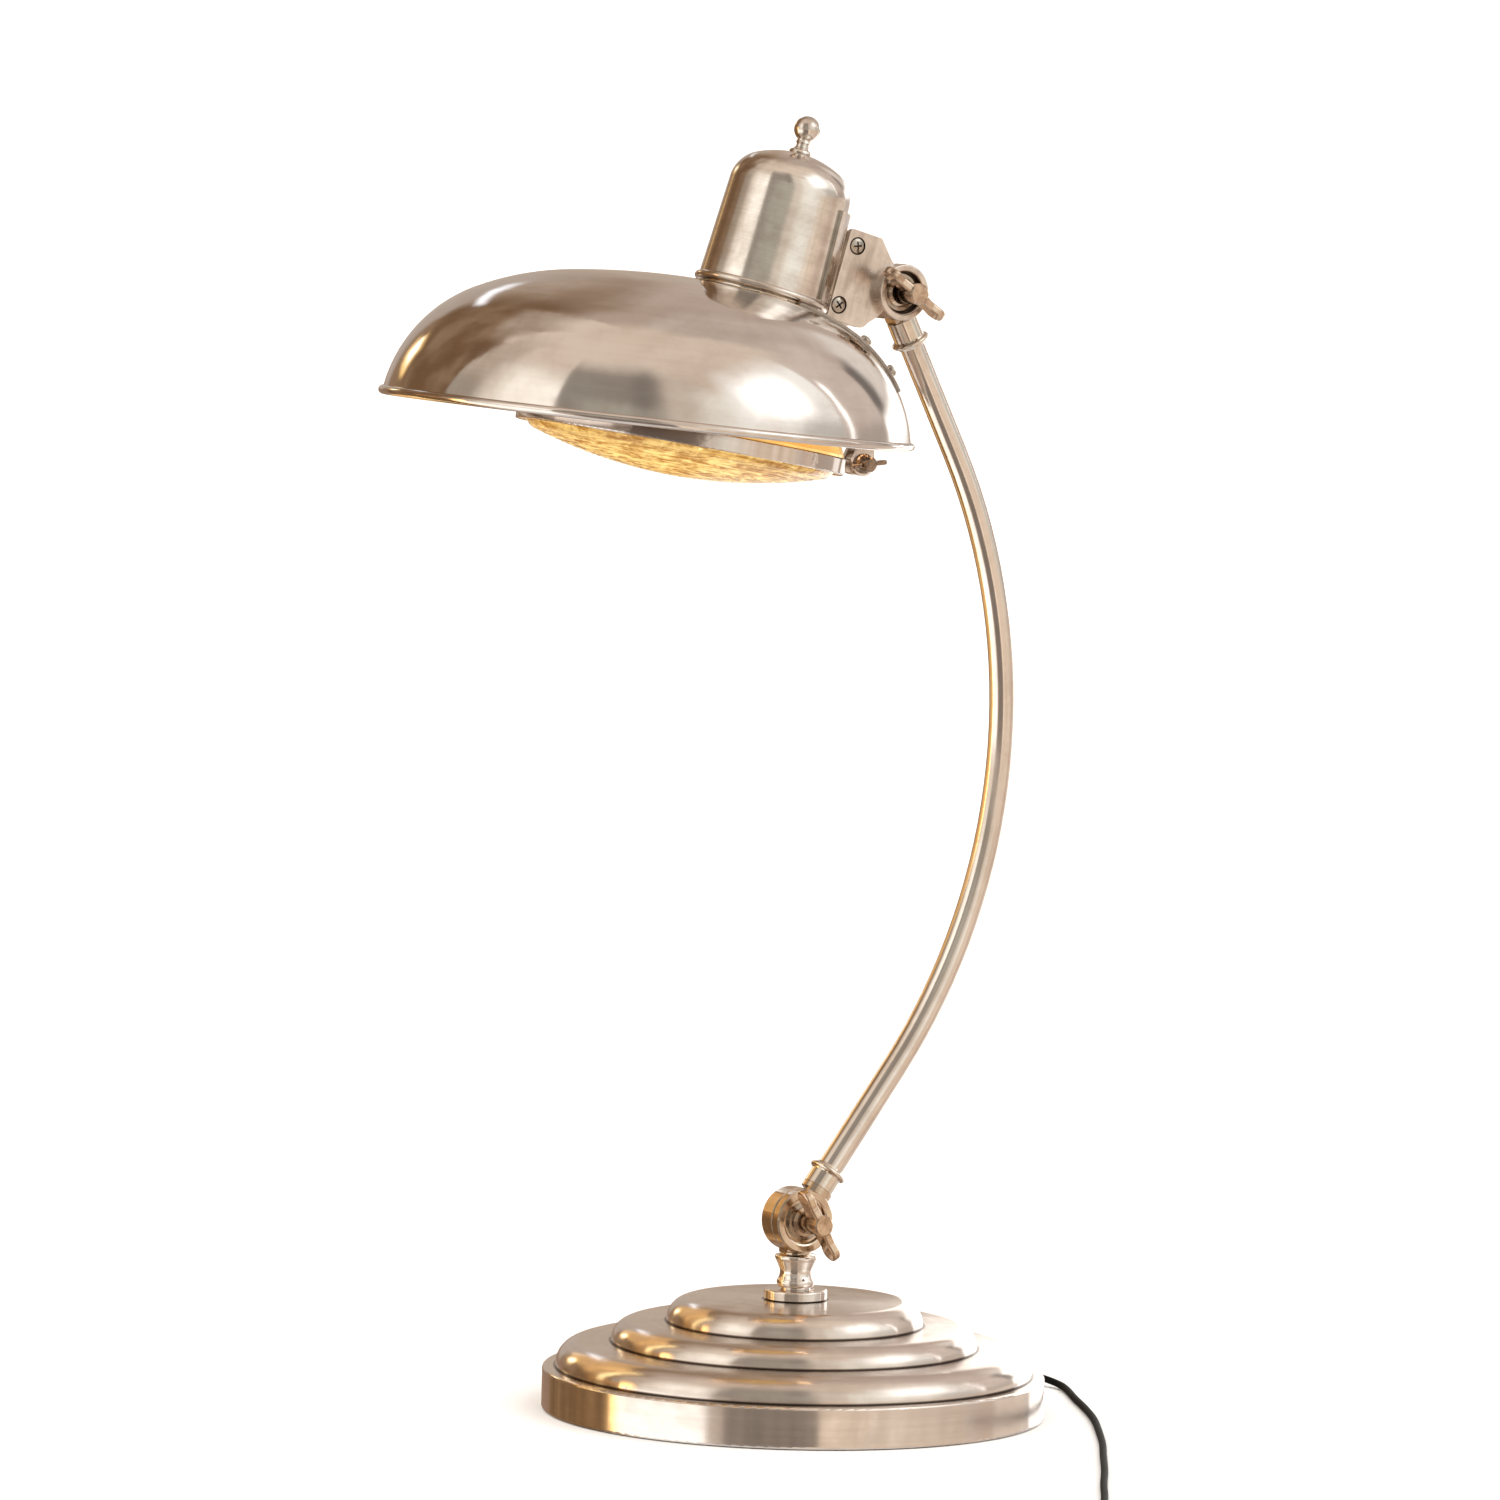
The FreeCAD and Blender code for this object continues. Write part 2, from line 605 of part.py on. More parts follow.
def ferrule(label, place, sleeve):
    Solid(label, place).turn([
        (d.tube_r + 0.03, 0), (d.ferrule_r - 0.4, 0), (d.ferrule_r, 0.4), (d.ferrule_r, sleeve), (d.ferrule_r + 0.3, sleeve + 0.6),
        (d.ferrule_bead - 0.5, sleeve + 0.8, 1.15, 1), (d.ferrule_bead - 0.5, sleeve + 3.0), (d.ferrule_r + 0.2, sleeve + 3.3),
        (d.ferrule_r - 0.5, sleeve + 4.4), (d.tube_r + 0.03, sleeve + 4.4),
    ]).done()


ferrule("lower_ferrule", Placement(PIVOT + p_low * 18.85, UP_ARM), 7.95)
ferrule("upper_ferrule", Placement(UPPER - p_top * 15.25, DOWN_ARM), 10.65)

# Upper eye, between the head's two cheeks.
AT_UPPER = Placement(UPPER, ALONG_X)
eye = Solid("upper_eye_disc", AT_UPPER, keep=False).turn([
    (d.bolt_fit, -5.0), (d.eye_r - 0.6, -5.0), (d.eye_r, -4.4), (d.eye_r, 4.4), (d.eye_r - 0.6, 5.0), (d.bolt_fit, 5.0),
]).done()
neck = block("upper_eye_neck", (10.0, 12.4, 10.2), Placement(
    UPPER + DOWN_ARM.multVec(Vector(-5.0, -6.2, 5.0)), DOWN_ARM))
spigot = cylinder("upper_eye_spigot", 6.2, 6.0, Placement(UPPER + DOWN_ARM.multVec(Vector(0, 0, 15.0)), DOWN_ARM), keep=False)
eye_joined = fuse("upper_eye_joined", [eye, neck, spigot], keep=False)
eye_bore = cylinder("upper_eye_bore", d.bolt_fit, 14, Placement(UPPER - Vector(7, 0, 0), ALONG_X), keep=False)
eye_lead = cylinder("upper_eye_lead", 2.4, 12, Placement(UPPER + DOWN_ARM.multVec(Vector(0, 0, 9.5)), DOWN_ARM), keep=False)
cut("upper_eye", eye_joined, [eye_bore, eye_lead])

# ============================================================== lamp head
CAP = Placement(Vector(0, num(d.cap_y), num(d.cap_z)), rx(-num(d.cap_tilt)))
SHADE = Placement(Vector(0, num(d.shade_y), num(d.shade_z)), rx(-num(d.shade_tilt)))
LENS = Placement(Vector(0, num(d.lens_y), num(d.lens_z)), rx(-num(d.lens_tilt)))
u = CAP.inverse().multVec(UPPER)
UV, UH = u.y, u.z  # the upper pivot across and along the cap


def cheek(label, side):
    # Flat plate with chamfered corners and a dished round boss at the pivot.
    b = Solid(label, CAP)
    outline = [
        (35.0, -2.2), (53.0, -2.2, 5.4, 1), (58.3, 1.2), (63.0, 6.2), (67.0, 12.0), (67.0, 31.0),
        (61.5, 35.4), (53.4, 43.6), (37.0, 43.6, 2.2, 1), (35.0, 41.6),
    ]
    near, face = (5.3, 14.2) if side > 0 else (-5.3, -10.6)
    back = side < 0
    b.pad(3.0, outlines=[outline], plane="YZ_Plane", off=near, back=back)
    b.pad(abs(face - near), rounds=[(UV, UH, d.boss_r)], plane="YZ_Plane", off=near, back=back)
    if side > 0:
        b.pocket(5.6, rounds=[(UV, UH, 10.6)], plane="YZ_Plane", off=face)
    b.pocket(60, rounds=[(UV, UH, d.bolt_fit)], plane="YZ_Plane", through=True)
    b.pocket(60, rounds=[(41.0, 36.1, 2.1), (39.8, 5.4, 2.1)], plane="YZ_Plane", through=True)
    if side > 0:
        b.pocket(1.3, rounds=[(41.0, 36.1, 4.45), (39.8, 5.4, 4.45)], plane="YZ_Plane", off=near + 3.0)
        b.soften(0.9, lambda e: abs(e.CenterOfMass.x - face) < 0.01 and e.BoundBox.XLength < 0.01)
    return b.done()


cheek("bracket_cheek_near", 1)
cheek("bracket_cheek_far", -1)

lug = block("bracket_lug", (10.4, 18.0, 39.6), CAP.multiply(Placement(Vector(-5.2, 29.0, 2.2), Rotation())))
lug_tool = doc.addObject("Part::Cone", "bracket_lug_cone")
lug_tool.Radius1, lug_tool.Radius2, lug_tool.Height = 34.05, 32.23, 52.0
lug_tool.Placement = CAP.multiply(Placement(Vector(0, 0, -2.0), Rotation()))
lug_holes = []
for k, (v, h) in enumerate(((41.0, 36.1), (39.8, 5.4))):
    lug_holes.append(cylinder(f"bracket_lug_hole{k}", 2.05, 14, CAP.multiply(Placement(Vector(-7, v, h), ALONG_X)), keep=False))
cut("bracket_block", lug, [lug_tool] + lug_holes)


def cross_screw(label):
    # Low domed head with a cross recess.
    b = Solid(label, keep=False)
    b.turn([(0, -8.0), (2.0, -8.0), (2.0, 7.75), (3.95, 7.75), (3.95, 8.7, 9.5, 1), (0, 9.55)])
    b.pocket(1.6, outlines=[[(-2.3, -0.42), (2.3, -0.42), (2.3, 0.42), (-2.3, 0.42)]], off=9.7)
    b.pocket(1.6, outlines=[[(-0.42, -2.3), (0.42, -2.3), (0.42, 2.3), (-0.42, 2.3)]], off=9.7)
    return b.done()


cs = cross_screw("bracket_screw").Shape
shape_node("bracket_screws", Part.makeCompound([
    cs.transformed(CAP.multiply(Placement(Vector(-0.7, v, h), ALONG_X.multiply(rz(turned)))).toMatrix())
    for v, h, turned in ((41.0, 36.1, 20), (39.8, 5.4, 52))
]))

pivot_bolt("upper_bolt", Placement(UPPER - Vector(10.65, 0, 0), ALONG_X), 8.6, 38.0)
Solid("upper_washer", AT_UPPER).turn([
    (d.bolt_r + 0.08, 8.65), (9.2, 8.65), (9.2, 10.2), (d.bolt_r + 0.08, 10.2),
]).done()
wing_nut("upper_wing_nut", Placement(UPPER + Vector(10.3, 0, 0), rx(53).multiply(ALONG_X)),
         5.3, 7.4, num(d.nut_len), num(d.bolt_fit), num(d.wing_tip), 5.4, 4.4, 6.5, 0.69, 1.6)

# Socket cap: slightly tapered drawn cup with a domed top and a beaded mouth.
crown_z = num(d.cap_h) - num(d.cap_crown)
sh_x = num(d.cap_top_r) - num(d.cap_shoulder)
gap = num(d.cap_crown) - num(d.cap_shoulder)
sh_z = crown_z + math.sqrt(gap * gap - sh_x * sh_x)
kx, kz = sh_x / gap, (sh_z - crown_z) / gap
CAP_T = 1.1


def cap_line(t):
    """The cap's outline from its mouth to its crown, t inside the outer face."""
    return [
        (num(d.cap_low_r) - t, 0.0),
        (num(d.cap_top_r) - t, sh_z, num(d.cap_shoulder) - t, 1),
        (num(d.cap_crown) * kx - t * kx, crown_z + (num(d.cap_crown) - t) * kz, num(d.cap_crown) - t, 1),
        (2.15, crown_z + math.sqrt((num(d.cap_crown) - t) ** 2 - 2.15 ** 2)),
    ]


out_line, in_line = cap_line(0), cap_line(CAP_T)
back_line = []
for k in range(len(in_line) - 1, -1, -1):
    x, y = in_line[k][0], in_line[k][1]
    before = in_line[k - 1] if k else None
    back_line.append((x, y, before[2], -1) if before is not None and len(before) > 2 else (x, y))
out_line[0] = (d.cap_low_r, 0.0)
out_line[1] = (d.cap_top_r, sh_z, d.cap_shoulder, 1)
out_line[2] = (out_line[2][0], out_line[2][1], d.cap_crown, 1)
cup = Solid("socket_cap", CAP, keep=False)
cup.turn(out_line + back_line)
cup.done()
bead = doc.addObject("Part::Torus", "cap_bead_torus")
bind(bead, "Radius1", d.cap_low_r)
bind(bead, "Radius2", d.bead_r)
bead.Placement = CAP
fuse("socket_cap", [cup.body, bead])

Solid("neck_ring", CAP).turn([
    (d.neck_r - 1.4, -13.0), (d.neck_r, -13.0), (d.neck_r, -2.4), (d.neck_r + 0.9, -1.75), (d.neck_r - 1.4, -1.75),
]).done()

# Saddle plate wrapped round the cap's back, which carries the bracket.
slope = (num(d.cap_low_r) - num(d.cap_top_r)) / sh_z
Solid("cap_saddle", CAP).turn([
    (num(d.cap_low_r) - slope * 2.6 + 0.06, 2.6), (num(d.cap_low_r) - slope * 2.6 + 1.7, 2.6),
    (num(d.cap_low_r) - slope * 48.0 + 1.7, 48.0), (num(d.cap_low_r) - slope * 48.0 + 0.06, 48.0),
], plane="YZ_Plane", angle=118.0).done()

# Finial with the long stud that holds cap and cross bar together.
Solid("finial", CAP).turn([
    (0, 44.1), (1.95, 44.1), (1.95, 71.0), (5.4, 70.74), (5.7, 71.5), (5.3, 72.4), (4.2, 73.0), (3.3, 74.2), (3.1, 75.6),
    (3.7, 76.6), (3.3, 77.6), (3.3, 78.05, 6.55, 1), (6.5, 83.7, 6.5, 1), (0.9, 90.1), (0, 90.25),
]).done()

# Lamp holder hung from a cross bar, with its threaded sleeve and the bulb.
bar = Solid("holder_bar", CAP)
bar.pad(1.6, outlines=[[(-28.85, -6), (28.85, -6), (28.85, 6), (-28.85, 6)]], off=46.32)
bar.pocket(5, rounds=[(0, 0, 2.05)], through=True)
bar.done()
Solid("lamp_holder", CAP).turn([
    (2.05, 46.3), (14.5, 46.3), (18.6, 43.0), (18.6, 20.0), (19.6, 19.4), (19.6, 7.0), (18.8, 6.2), (15.4, 6.2),
    (14.6, 7.0), (14.6, 38.0), (6.0, 38.0), (6.0, 44.0), (2.05, 44.0),
]).done()
Solid("holder_sleeve", CAP).turn([
    (13.7, 8.0), (14.58, 8.0), (14.58, 37.97), (5.0, 37.97), (5.0, 37.1), (13.7, 37.1),
]).done()
thread = [(0, 36.2), (4.2, 36.2), (5.0, 34.6), (11.8, 33.2)]
z = 33.2
while z > 12.0:
    thread += [(13.2, z - 0.9), (13.2, z - 1.7), (12.5, z - 2.6)]
    z -= 2.6
thread += [(12.5, z - 1.6), (0, z - 1.6)]
Solid("bulb_cap", CAP).turn(thread[::-1]).done()
low_z = z - 1.6
Solid("bulb_glass", CAP).turn([
    (12.4, low_z - 0.05), (11.4, low_z - 0.05), (11.4, low_z - 2.0), (16.2, -4.0), (20.6, -11.2, 21.9, -1),
    (21.9, -18.5, 21.9, -1), (0, -40.4), (0, -41.1, 22.6, 1), (22.6, -18.5, 22.6, 1), (21.2, -10.9), (16.9, -3.5), (12.4, low_z - 1.8),
]).done()

# ------------------------------------------------------------------- shade
Rc, Rs, Rk = num(d.shade_crown), num(d.shade_shoulder), num(d.shade_skirt)
H = num(d.shade_h)
A1, A2 = math.radians(7.2), math.radians(26.2)
c1 = (Rc * math.sin(A1), H - Rc + Rc * math.cos(A1))
sc = (c1[0] - Rs * math.sin(A1), c1[1] - Rs * math.cos(A1))
c2 = (sc[0] + Rs * math.sin(A2), sc[1] + Rs * math.cos(A2))
kc = (c2[0] - Rk * math.sin(A2), c2[1] - Rk * math.cos(A2))


def on_shoulder(a, t):
    return (sc[0] + (Rs + t) * math.sin(a), sc[1] + (Rs + t) * math.cos(a))


def on_skirt(a, t):
    return (kc[0] + (Rk + t) * math.sin(a), kc[1] + (Rk + t) * math.cos(a))


def at_height(h, t):
    return (kc[0] + math.sqrt((Rk + t) ** 2 - (h - kc[1]) ** 2), h)


w = num(d.shade_wall)
# The crown is open at the axis only while the neck's hole is not yet cut, so the
# outline starts on the axis.
dome = Solid("shade", SHADE, keep=False)
dome.turn([
    (at_height(0, 0)[0], 0.0, d.shade_skirt, 1),
    (c2[0], c2[1], d.shade_shoulder, 1),
    (c1[0], c1[1], d.shade_crown, 1),
    (0, d.shade_h),
    (0, d.shade_h - w, Rc - w, -1),
    ((Rc - w) * math.sin(A1), H - Rc + (Rc - w) * math.cos(A1), Rs - w, -1),
    (on_shoulder(A2, -w)[0], on_shoulder(A2, -w)[1], Rk - w, -1),
    (at_height(0, -w)[0], 0.0),
])
dome.done()
neck_tool = cylinder("shade_neck_hole", d.neck_r + 0.1, 60, CAP.multiply(Placement(Vector(0, 0, -40), Rotation())), keep=False)
rim = doc.addObject("Part::Torus", "rim_torus")
bind(rim, "Radius1", d.rim_r)
bind(rim, "Radius2", d.rim_bead)
rim.Placement = SHADE
beaded = fuse("shade_beaded", [dome.body, rim], keep=False)
cut("shade", beaded, [neck_tool])


def skirt_angle(r):
    return math.asin((r - kc[0]) / Rk)


# Two riveted straps that tie the shade to the neck behind the cap.
a_in = math.asin((69.0 - sc[0]) / Rs)
a_out = skirt_angle(121.5)
strap_line = [
    on_shoulder(a_in, 0.08) + (Rs + 0.08, -1), on_shoulder(A2, 0.08) + (Rk + 0.08, -1), on_skirt(a_out, 0.08),
    on_skirt(a_out, 1.3) + (Rk + 1.3, 1), on_shoulder(A2, 1.3) + (Rs + 1.3, 1), on_shoulder(a_in, 1.3),
]
for name, bearing in (("strap_right", 60.0), ("strap_left", 120.0)):
    Solid(name, SHADE.multiply(Placement(Vector(), rz(bearing)))).turn(strap_line, angle=8.6).done()
rivet = Solid("strap_rivet", keep=False).turn([
    (0, -2.4), (1.5, -2.4), (1.5, 1.35), (3.1, 1.35), (3.0, 2.5), (2.2, 3.3), (0, 3.7),
]).done().Shape
# Flush outside, headed inside: these hold the lens door's fork.
flush = Solid("fork_rivet", keep=False).turn([
    (0, -4.2), (1.6, -4.1), (2.5, -3.4), (2.5, -2.9), (1.4, -2.9), (1.4, 0), (0, 0),
]).done().Shape


def on_shade(shape, bearing, r):
    a = skirt_angle(r)
    p = on_skirt(a, 0.0)
    place = SHADE.multiply(Placement(Vector(), rz(bearing))).multiply(
        Placement(Vector(p[0], 0, p[1]), Rotation(Vector(0, 1, 0), math.degrees(a))))
    return shape.transformed(place.toMatrix())


shape_node("shade_rivets", Part.makeCompound(
    [on_shade(rivet, bearing, r) for bearing in (60.0, 120.0) for r in (101.7, 115.3)]
    + [on_shade(flush, bearing, 128.6) for bearing in (88.6, 91.4)]
))

# --------------------------------------------------------------- lens door
HINGE = Vector(0, num(d.hinge_y), num(d.hinge_z))
hs = SHADE.inverse().multVec(HINGE)
hl = LENS.inverse().multVec(HINGE)
arm_out = [
    (hs.y - 5.6, hs.z + 2.6), (hs.y + 5.9, hs.z + 2.0), (127.4, -1.0), (127.5, 3.2), (125.0, 15.0), (123.4, 15.0), (121.8, 4.0),
]
fork = Solid("lens_bracket", SHADE)
fork.pad(2.7, outlines=[arm_out], plane="YZ_Plane", off=3.3)
fork.pad(2.7, rounds=[(hs.y, hs.z, 6.2)], plane="YZ_Plane", off=3.3)
fork.pad(2.7, outlines=[arm_out], plane="YZ_Plane", off=-3.3, back=True)
fork.pad(2.7, rounds=[(hs.y, hs.z, 6.2)], plane="YZ_Plane", off=-3.3, back=True)
fork.pad(12.0, outlines=[[(127.2, 2.8), (128.8, 3.0), (125.4, 15.6), (123.6, 15.2)]], plane="YZ_Plane", mid=True)
fork.pocket(20, rounds=[(hs.y, hs.z, 2.05)], plane="YZ_Plane", through=True)
fork.done()

ring = Solid("lens_ring", LENS)
ring.turn([
    (81.1, -5.0), (81.6, -5.0, 0.7, 1), (d.ring_r, -4.3), (d.ring_r, 2.4, 0.8, 1), (81.5, 3.2), (80.6, 3.2), (80.6, 0.9),
    (78.6, 0.9), (78.6, -0.5), (81.1, -0.5),
])
ring.done()
# Domed lens, cemented into the ring's rebate from below.
low = -3.3 - num(d.glass_drop)
ro = (71.0 * 71.0 + (-8.8 - low) ** 2) / (2 * (-8.8 - low))
ri = (68.5 * 68.5 + (-5.4 - (low + 4.0)) ** 2) / (2 * (-5.4 - (low + 4.0)))
Solid("lens_glass", LENS).turn([
    (0, low, ro, 1), (71.0, -8.8, 8.6, 1), (76.9, -4.0), (77.0, -3.3), (81.05, -3.3), (81.05, -0.5), (74.4, -0.5), (68.5, -5.4, ri, -1),
    (0, low + 4.0),
]).done()
Solid("lens_gasket", LENS).turn([(78.7, 0.95), (80.4, 0.95), (80.4, 2.2), (78.7, 2.2)]).done()
# Gilt collar inside the door that throws stray light forward.
Solid("lens_collar", LENS).turn([
    (79.2, 2.25), (80.4, 2.25), (80.3, 4.4, 40.0, 1), (74.2, 15.6), (73.2, 15.0, 39.0, -1), (79.2, 4.4),
]).done()
tongue = Solid("lens_lug", LENS)
tongue.pad(6.0, outlines=[[(83.2, -2.6), (98.0, hl.z - 5.2), (hl.y + 1.0, hl.z - 4.4), (hl.y, hl.z + 5.2), (94.0, 3.4), (83.2, 2.8)]],
           plane="YZ_Plane", mid=True)
tongue.pad(6.0, rounds=[(hl.y, hl.z, 5.6)], plane="YZ_Plane", mid=True)
tongue.pad(14.0, outlines=[[(82.32, -2.6), (84.0, -2.6), (84.0, 2.6), (82.32, 2.6)]], plane="YZ_Plane", mid=True)
tongue.pocket(20, rounds=[(hl.y, hl.z, 2.05)], plane="YZ_Plane", through=True)
tongue.done()
Solid("lens_bolt", Placement(HINGE - Vector(6.05, 0, 0), ALONG_X)).turn([
    (0, -2.6), (2.6, -2.3), (4.2, -0.9), (4.2, 0), (2.0, 0), (2.0, 20.2), (0, 20.2),
]).done()
wing_nut("lens_wing_nut", Placement(HINGE + Vector(6.1, 0, 0), rx(-84).multiply(ALONG_X)),
         3.7, 5.0, 7.8, 2.05, 10.4, 2.6, 2.2, 2.6, 0.58)

# =================================================================== wiring
# Lead inside the base: in from the strain relief, over the weight, to the rod.
def rounded(points, radii_out=None):
    """Straight runs joined by tangent arcs, each as large as its two runs allow."""
    pts = [Vector(*p) for p in points]
    edges, here = [], pts[0]
    for k in range(1, len(pts) - 1):
        a, b, c = pts[k - 1], pts[k], pts[k + 1]
        i, o = (b - a), (c - b)
        short = min(i.Length, o.Length)
        turn = i.getAngle(o)
        radius = 0.45 * short / math.tan(turn / 2)
        i.normalize()
        o.normalize()
        back = 0.45 * short
        p, q = b - i * back, b + o * back
        inward = (o - i).normalize()
        mid = b + inward * (math.hypot(radius, back) - radius)
        if (p - here).Length > 1e-6:
            edges.append(Part.LineSegment(here, p).toShape())
        edges.append(Part.Arc(p, mid, q).toShape())
        here = q
        if radii_out is not None:
            radii_out.append(round(radius, 1))
    edges.append(Part.LineSegment(here, pts[-1]).toShape())
    return Part.Wire(edges)


e = exit_dir
inside = [
    tuple(e * 120.6 + Vector(0, 0, 9.0)), tuple(e * 112.0 + Vector(0, 0, 9.0)), tuple(e * 100.0 + Vector(0, 0, 13.8)),
    tuple(e * 86.0 + Vector(0, 0, 19.3)), tuple(e * 62.0 + Vector(0, 0, 18.6)), tuple(e * 30.0 + Vector(0, 0, 17.9)),
]
radii = []
shape_node("base_lead", pipe(rounded(inside, radii), num(d.cord_r)))
print("base lead bend radii", radii)

# Mains lead on the table, from the strain relief round to the front right.
zc = num(d.cord_z)
ROUTE = [
    (-35.32, 141.66, 9.0), (-37.6, 151.5, 7.9), (-35.0, 161.0, 5.6), (-27.2, 167.0, 3.4), (-15.8, 167.6, 2.2),
    (-1.0, 162.4, zc), (22.0, 152.0, zc), (52.0, 139.9, zc), (86.0, 124.4, zc), (120.0, 106.0, zc),
    (154.0, 87.2, zc), (190.0, 65.2, zc), (227.0, 43.3, zc), (264.0, 19.6, zc), (300.0, -1.6, zc),
    (333.0, -24.0, zc), (359.5, -50.5, zc), (374.0, -73.0, zc), (380.6, -93.8, 2.6), (379.6, -104.5, 4.2),
]
radii = []
first = rounded(ROUTE, radii)
shape_node("cord_run", pipe(first, num(d.cord_r)))
print("cord bend radii", radii, "length", round(first.Length, 1))

# In-line rocker switch lying on the table.
SWITCH = Placement(Vector(379.6, -104.5, 0), rz(-120.0))
case = Solid("switch_case", SWITCH)
case.pad(12.4, outlines=[[
    (0, -5.0), (7.0, -11.0), (47.0, -11.0), (54.0, -5.0), (54.0, 5.0), (47.0, 11.0), (7.0, 11.0), (0, 5.0)]])
case.soften(2.4, lambda e: abs(e.CenterOfMass.z - 12.4) < 0.01)
case.pocket(6.2, outlines=[[(18.2, -4.8), (35.8, -4.8), (35.8, 4.8), (18.2, 4.8)]], off=12.4)
case.pocket(20, rounds=[(27.0, 10.6, 0.8)], plane="XZ_Plane", through=True)
case.done()
lever = Solid("switch_rocker", SWITCH.multiply(Placement(Vector(27.0, 0, 10.6), Rotation(Vector(0, 1, 0), 7.0))))
lever.pad(9.0, outlines=[[(-8.1, -1.6), (-5.0, -2.6), (5.0, -2.6), (8.1, -1.6), (8.1, 3.6), (3.6, 2.4), (0, 2.1), (-3.6, 2.4), (-8.1, 3.6)]],
          plane="XZ_Plane", mid=True)
lever.pad(16.8, rounds=[(0, 0, 0.76)], plane="XZ_Plane", mid=True)
lever.done()

# From the switch to the coil, the coil, and from the coil to the plug.
ROUTE_B = [
    (352.6, -151.27, 4.2), (346.6, -161.3, 3.0), (339.4, -170.2, 2.4),
]
radii = []
second = rounded(ROUTE_B, radii)
shape_node("cord_link", pipe(second, num(d.cord_r)))
print("link bend radii", radii, "length", round(second.Length, 1))
coil = Solid("cord_coil", Placement(Vector(num(d.coil_x), num(d.coil_y), 0), Rotation()))
coil.turn([
    (d.coil_in + 1.6, 0), (d.coil_out - 1.6, 0, 1.7, 1), (d.coil_out, 1.6), (d.coil_out, d.coil_h - 1.6, 1.7, 1),
    (d.coil_out - 1.6, d.coil_h), (d.coil_in + 1.6, d.coil_h, 1.7, 1), (d.coil_in, d.coil_h - 1.6), (d.coil_in, 1.6, 1.7, 1),
])
coil.done()
ROUTE_C = [
    (321.3, -198.6, 4.6), (315.6, -212.6, 4.0), (311.4, -226.6, 3.4), (308.0, -241.4, 4.4), (303.8, -256.0, 6.6),
]
radii = []
third = rounded(ROUTE_C, radii)
shape_node("cord_tail", pipe(third, num(d.cord_r)))
print("tail bend radii", radii, "length", round(third.Length, 1))

# Flat two-pin plug with its tapered sleeve.
PLUG = Placement(Vector(303.8, -256.0, 0), rz(-107.0))
body = Solid("plug_moulding", PLUG, keep=False)
body.pad(13.6, outlines=[[
    (22.0, -4.6), (30.0, -5.4), (40.0, -12.6), (52.0, -16.6), (52.0, 16.6), (40.0, 12.6), (30.0, 5.4), (22.0, 4.6)]], off=0.0)
body.soften(3.0, lambda e: (abs(e.CenterOfMass.z - 13.6) < 0.01 or abs(e.CenterOfMass.z) < 0.01) and e.CenterOfMass.x < 51.0)
body.done()
sleeve = Solid("plug_sleeve", PLUG.multiply(Placement(Vector(0, 0, 6.6), ALONG_X)), keep=False)
sleeve.turn([(0, 0), (2.7, 0), (4.0, 16.0), (4.2, 23.0), (0, 23.0)])
sleeve.done()
fuse("plug_body", [body.body, sleeve.body])
pin = Solid("plug_pin", keep=False).turn([(0, 52.05), (2.0, 52.05), (2.0, 69.4, 1.7, 1), (0.4, 71.0), (0, 71.0)]).done().Shape
shape_node("plug_pins", Part.makeCompound([
    pin.transformed(PLUG.multiply(Placement(Vector(0, y, 6.6), ALONG_X)).toMatrix()) for y in (-9.3, 9.3)
]))

# ================================================================== export
doc.recompute()
bad = [o.Name for o in doc.Objects if "Invalid" in o.State or "Error" in o.State]
if bad:
    raise RuntimeError(f"failed objects: {bad}")
if len(NODES) > 60:
    raise RuntimeError(f"{len(NODES)} nodes")
for label, obj in NODES.items():
    s = obj.Shape
    if s.isNull() or not s.isValid() or not s.Solids:
        raise RuntimeError(f"{label} is not a valid solid")
for old in os.listdir("parts"):
    if old.endswith(".step") and old[:-5] not in NODES:
        os.remove(os.path.join("parts", old))
for label, obj in NODES.items():
    obj.Shape.exportStep(f"parts/{label}.step")
    b = obj.Shape.BoundBox
    print(f"{label:20s} {obj.Shape.Volume:12.1f}  x {b.XMin:7.1f} {b.XMax:7.1f}  y {b.YMin:7.1f} {b.YMax:7.1f}  z {b.ZMin:7.1f} {b.ZMax:7.1f}  n {len(obj.Shape.Solids)}")
print(len(NODES), "nodes")
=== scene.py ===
import json
import math

import bmesh
import bpy
from mathutils import Matrix, Vector

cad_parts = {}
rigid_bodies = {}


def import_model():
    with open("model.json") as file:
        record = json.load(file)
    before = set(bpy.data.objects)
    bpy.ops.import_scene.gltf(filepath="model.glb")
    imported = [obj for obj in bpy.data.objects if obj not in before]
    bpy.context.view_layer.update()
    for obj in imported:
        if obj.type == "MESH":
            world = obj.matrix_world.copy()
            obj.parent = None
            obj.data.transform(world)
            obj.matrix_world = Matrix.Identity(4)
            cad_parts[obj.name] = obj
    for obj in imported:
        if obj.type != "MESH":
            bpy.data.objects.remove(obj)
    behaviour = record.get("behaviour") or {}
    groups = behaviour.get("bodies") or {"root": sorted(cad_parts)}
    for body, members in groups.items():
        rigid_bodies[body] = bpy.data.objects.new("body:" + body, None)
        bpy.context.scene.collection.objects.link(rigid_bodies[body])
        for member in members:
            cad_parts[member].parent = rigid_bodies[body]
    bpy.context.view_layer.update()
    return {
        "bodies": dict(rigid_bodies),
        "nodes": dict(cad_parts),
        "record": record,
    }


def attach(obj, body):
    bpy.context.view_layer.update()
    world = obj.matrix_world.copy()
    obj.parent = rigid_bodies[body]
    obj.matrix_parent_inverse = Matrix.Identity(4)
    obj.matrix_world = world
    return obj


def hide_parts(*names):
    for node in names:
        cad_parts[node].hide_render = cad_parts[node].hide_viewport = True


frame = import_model()
NODES, BODIES, RECORD = frame["nodes"], frame["bodies"], frame["record"]
scene = bpy.context.scene

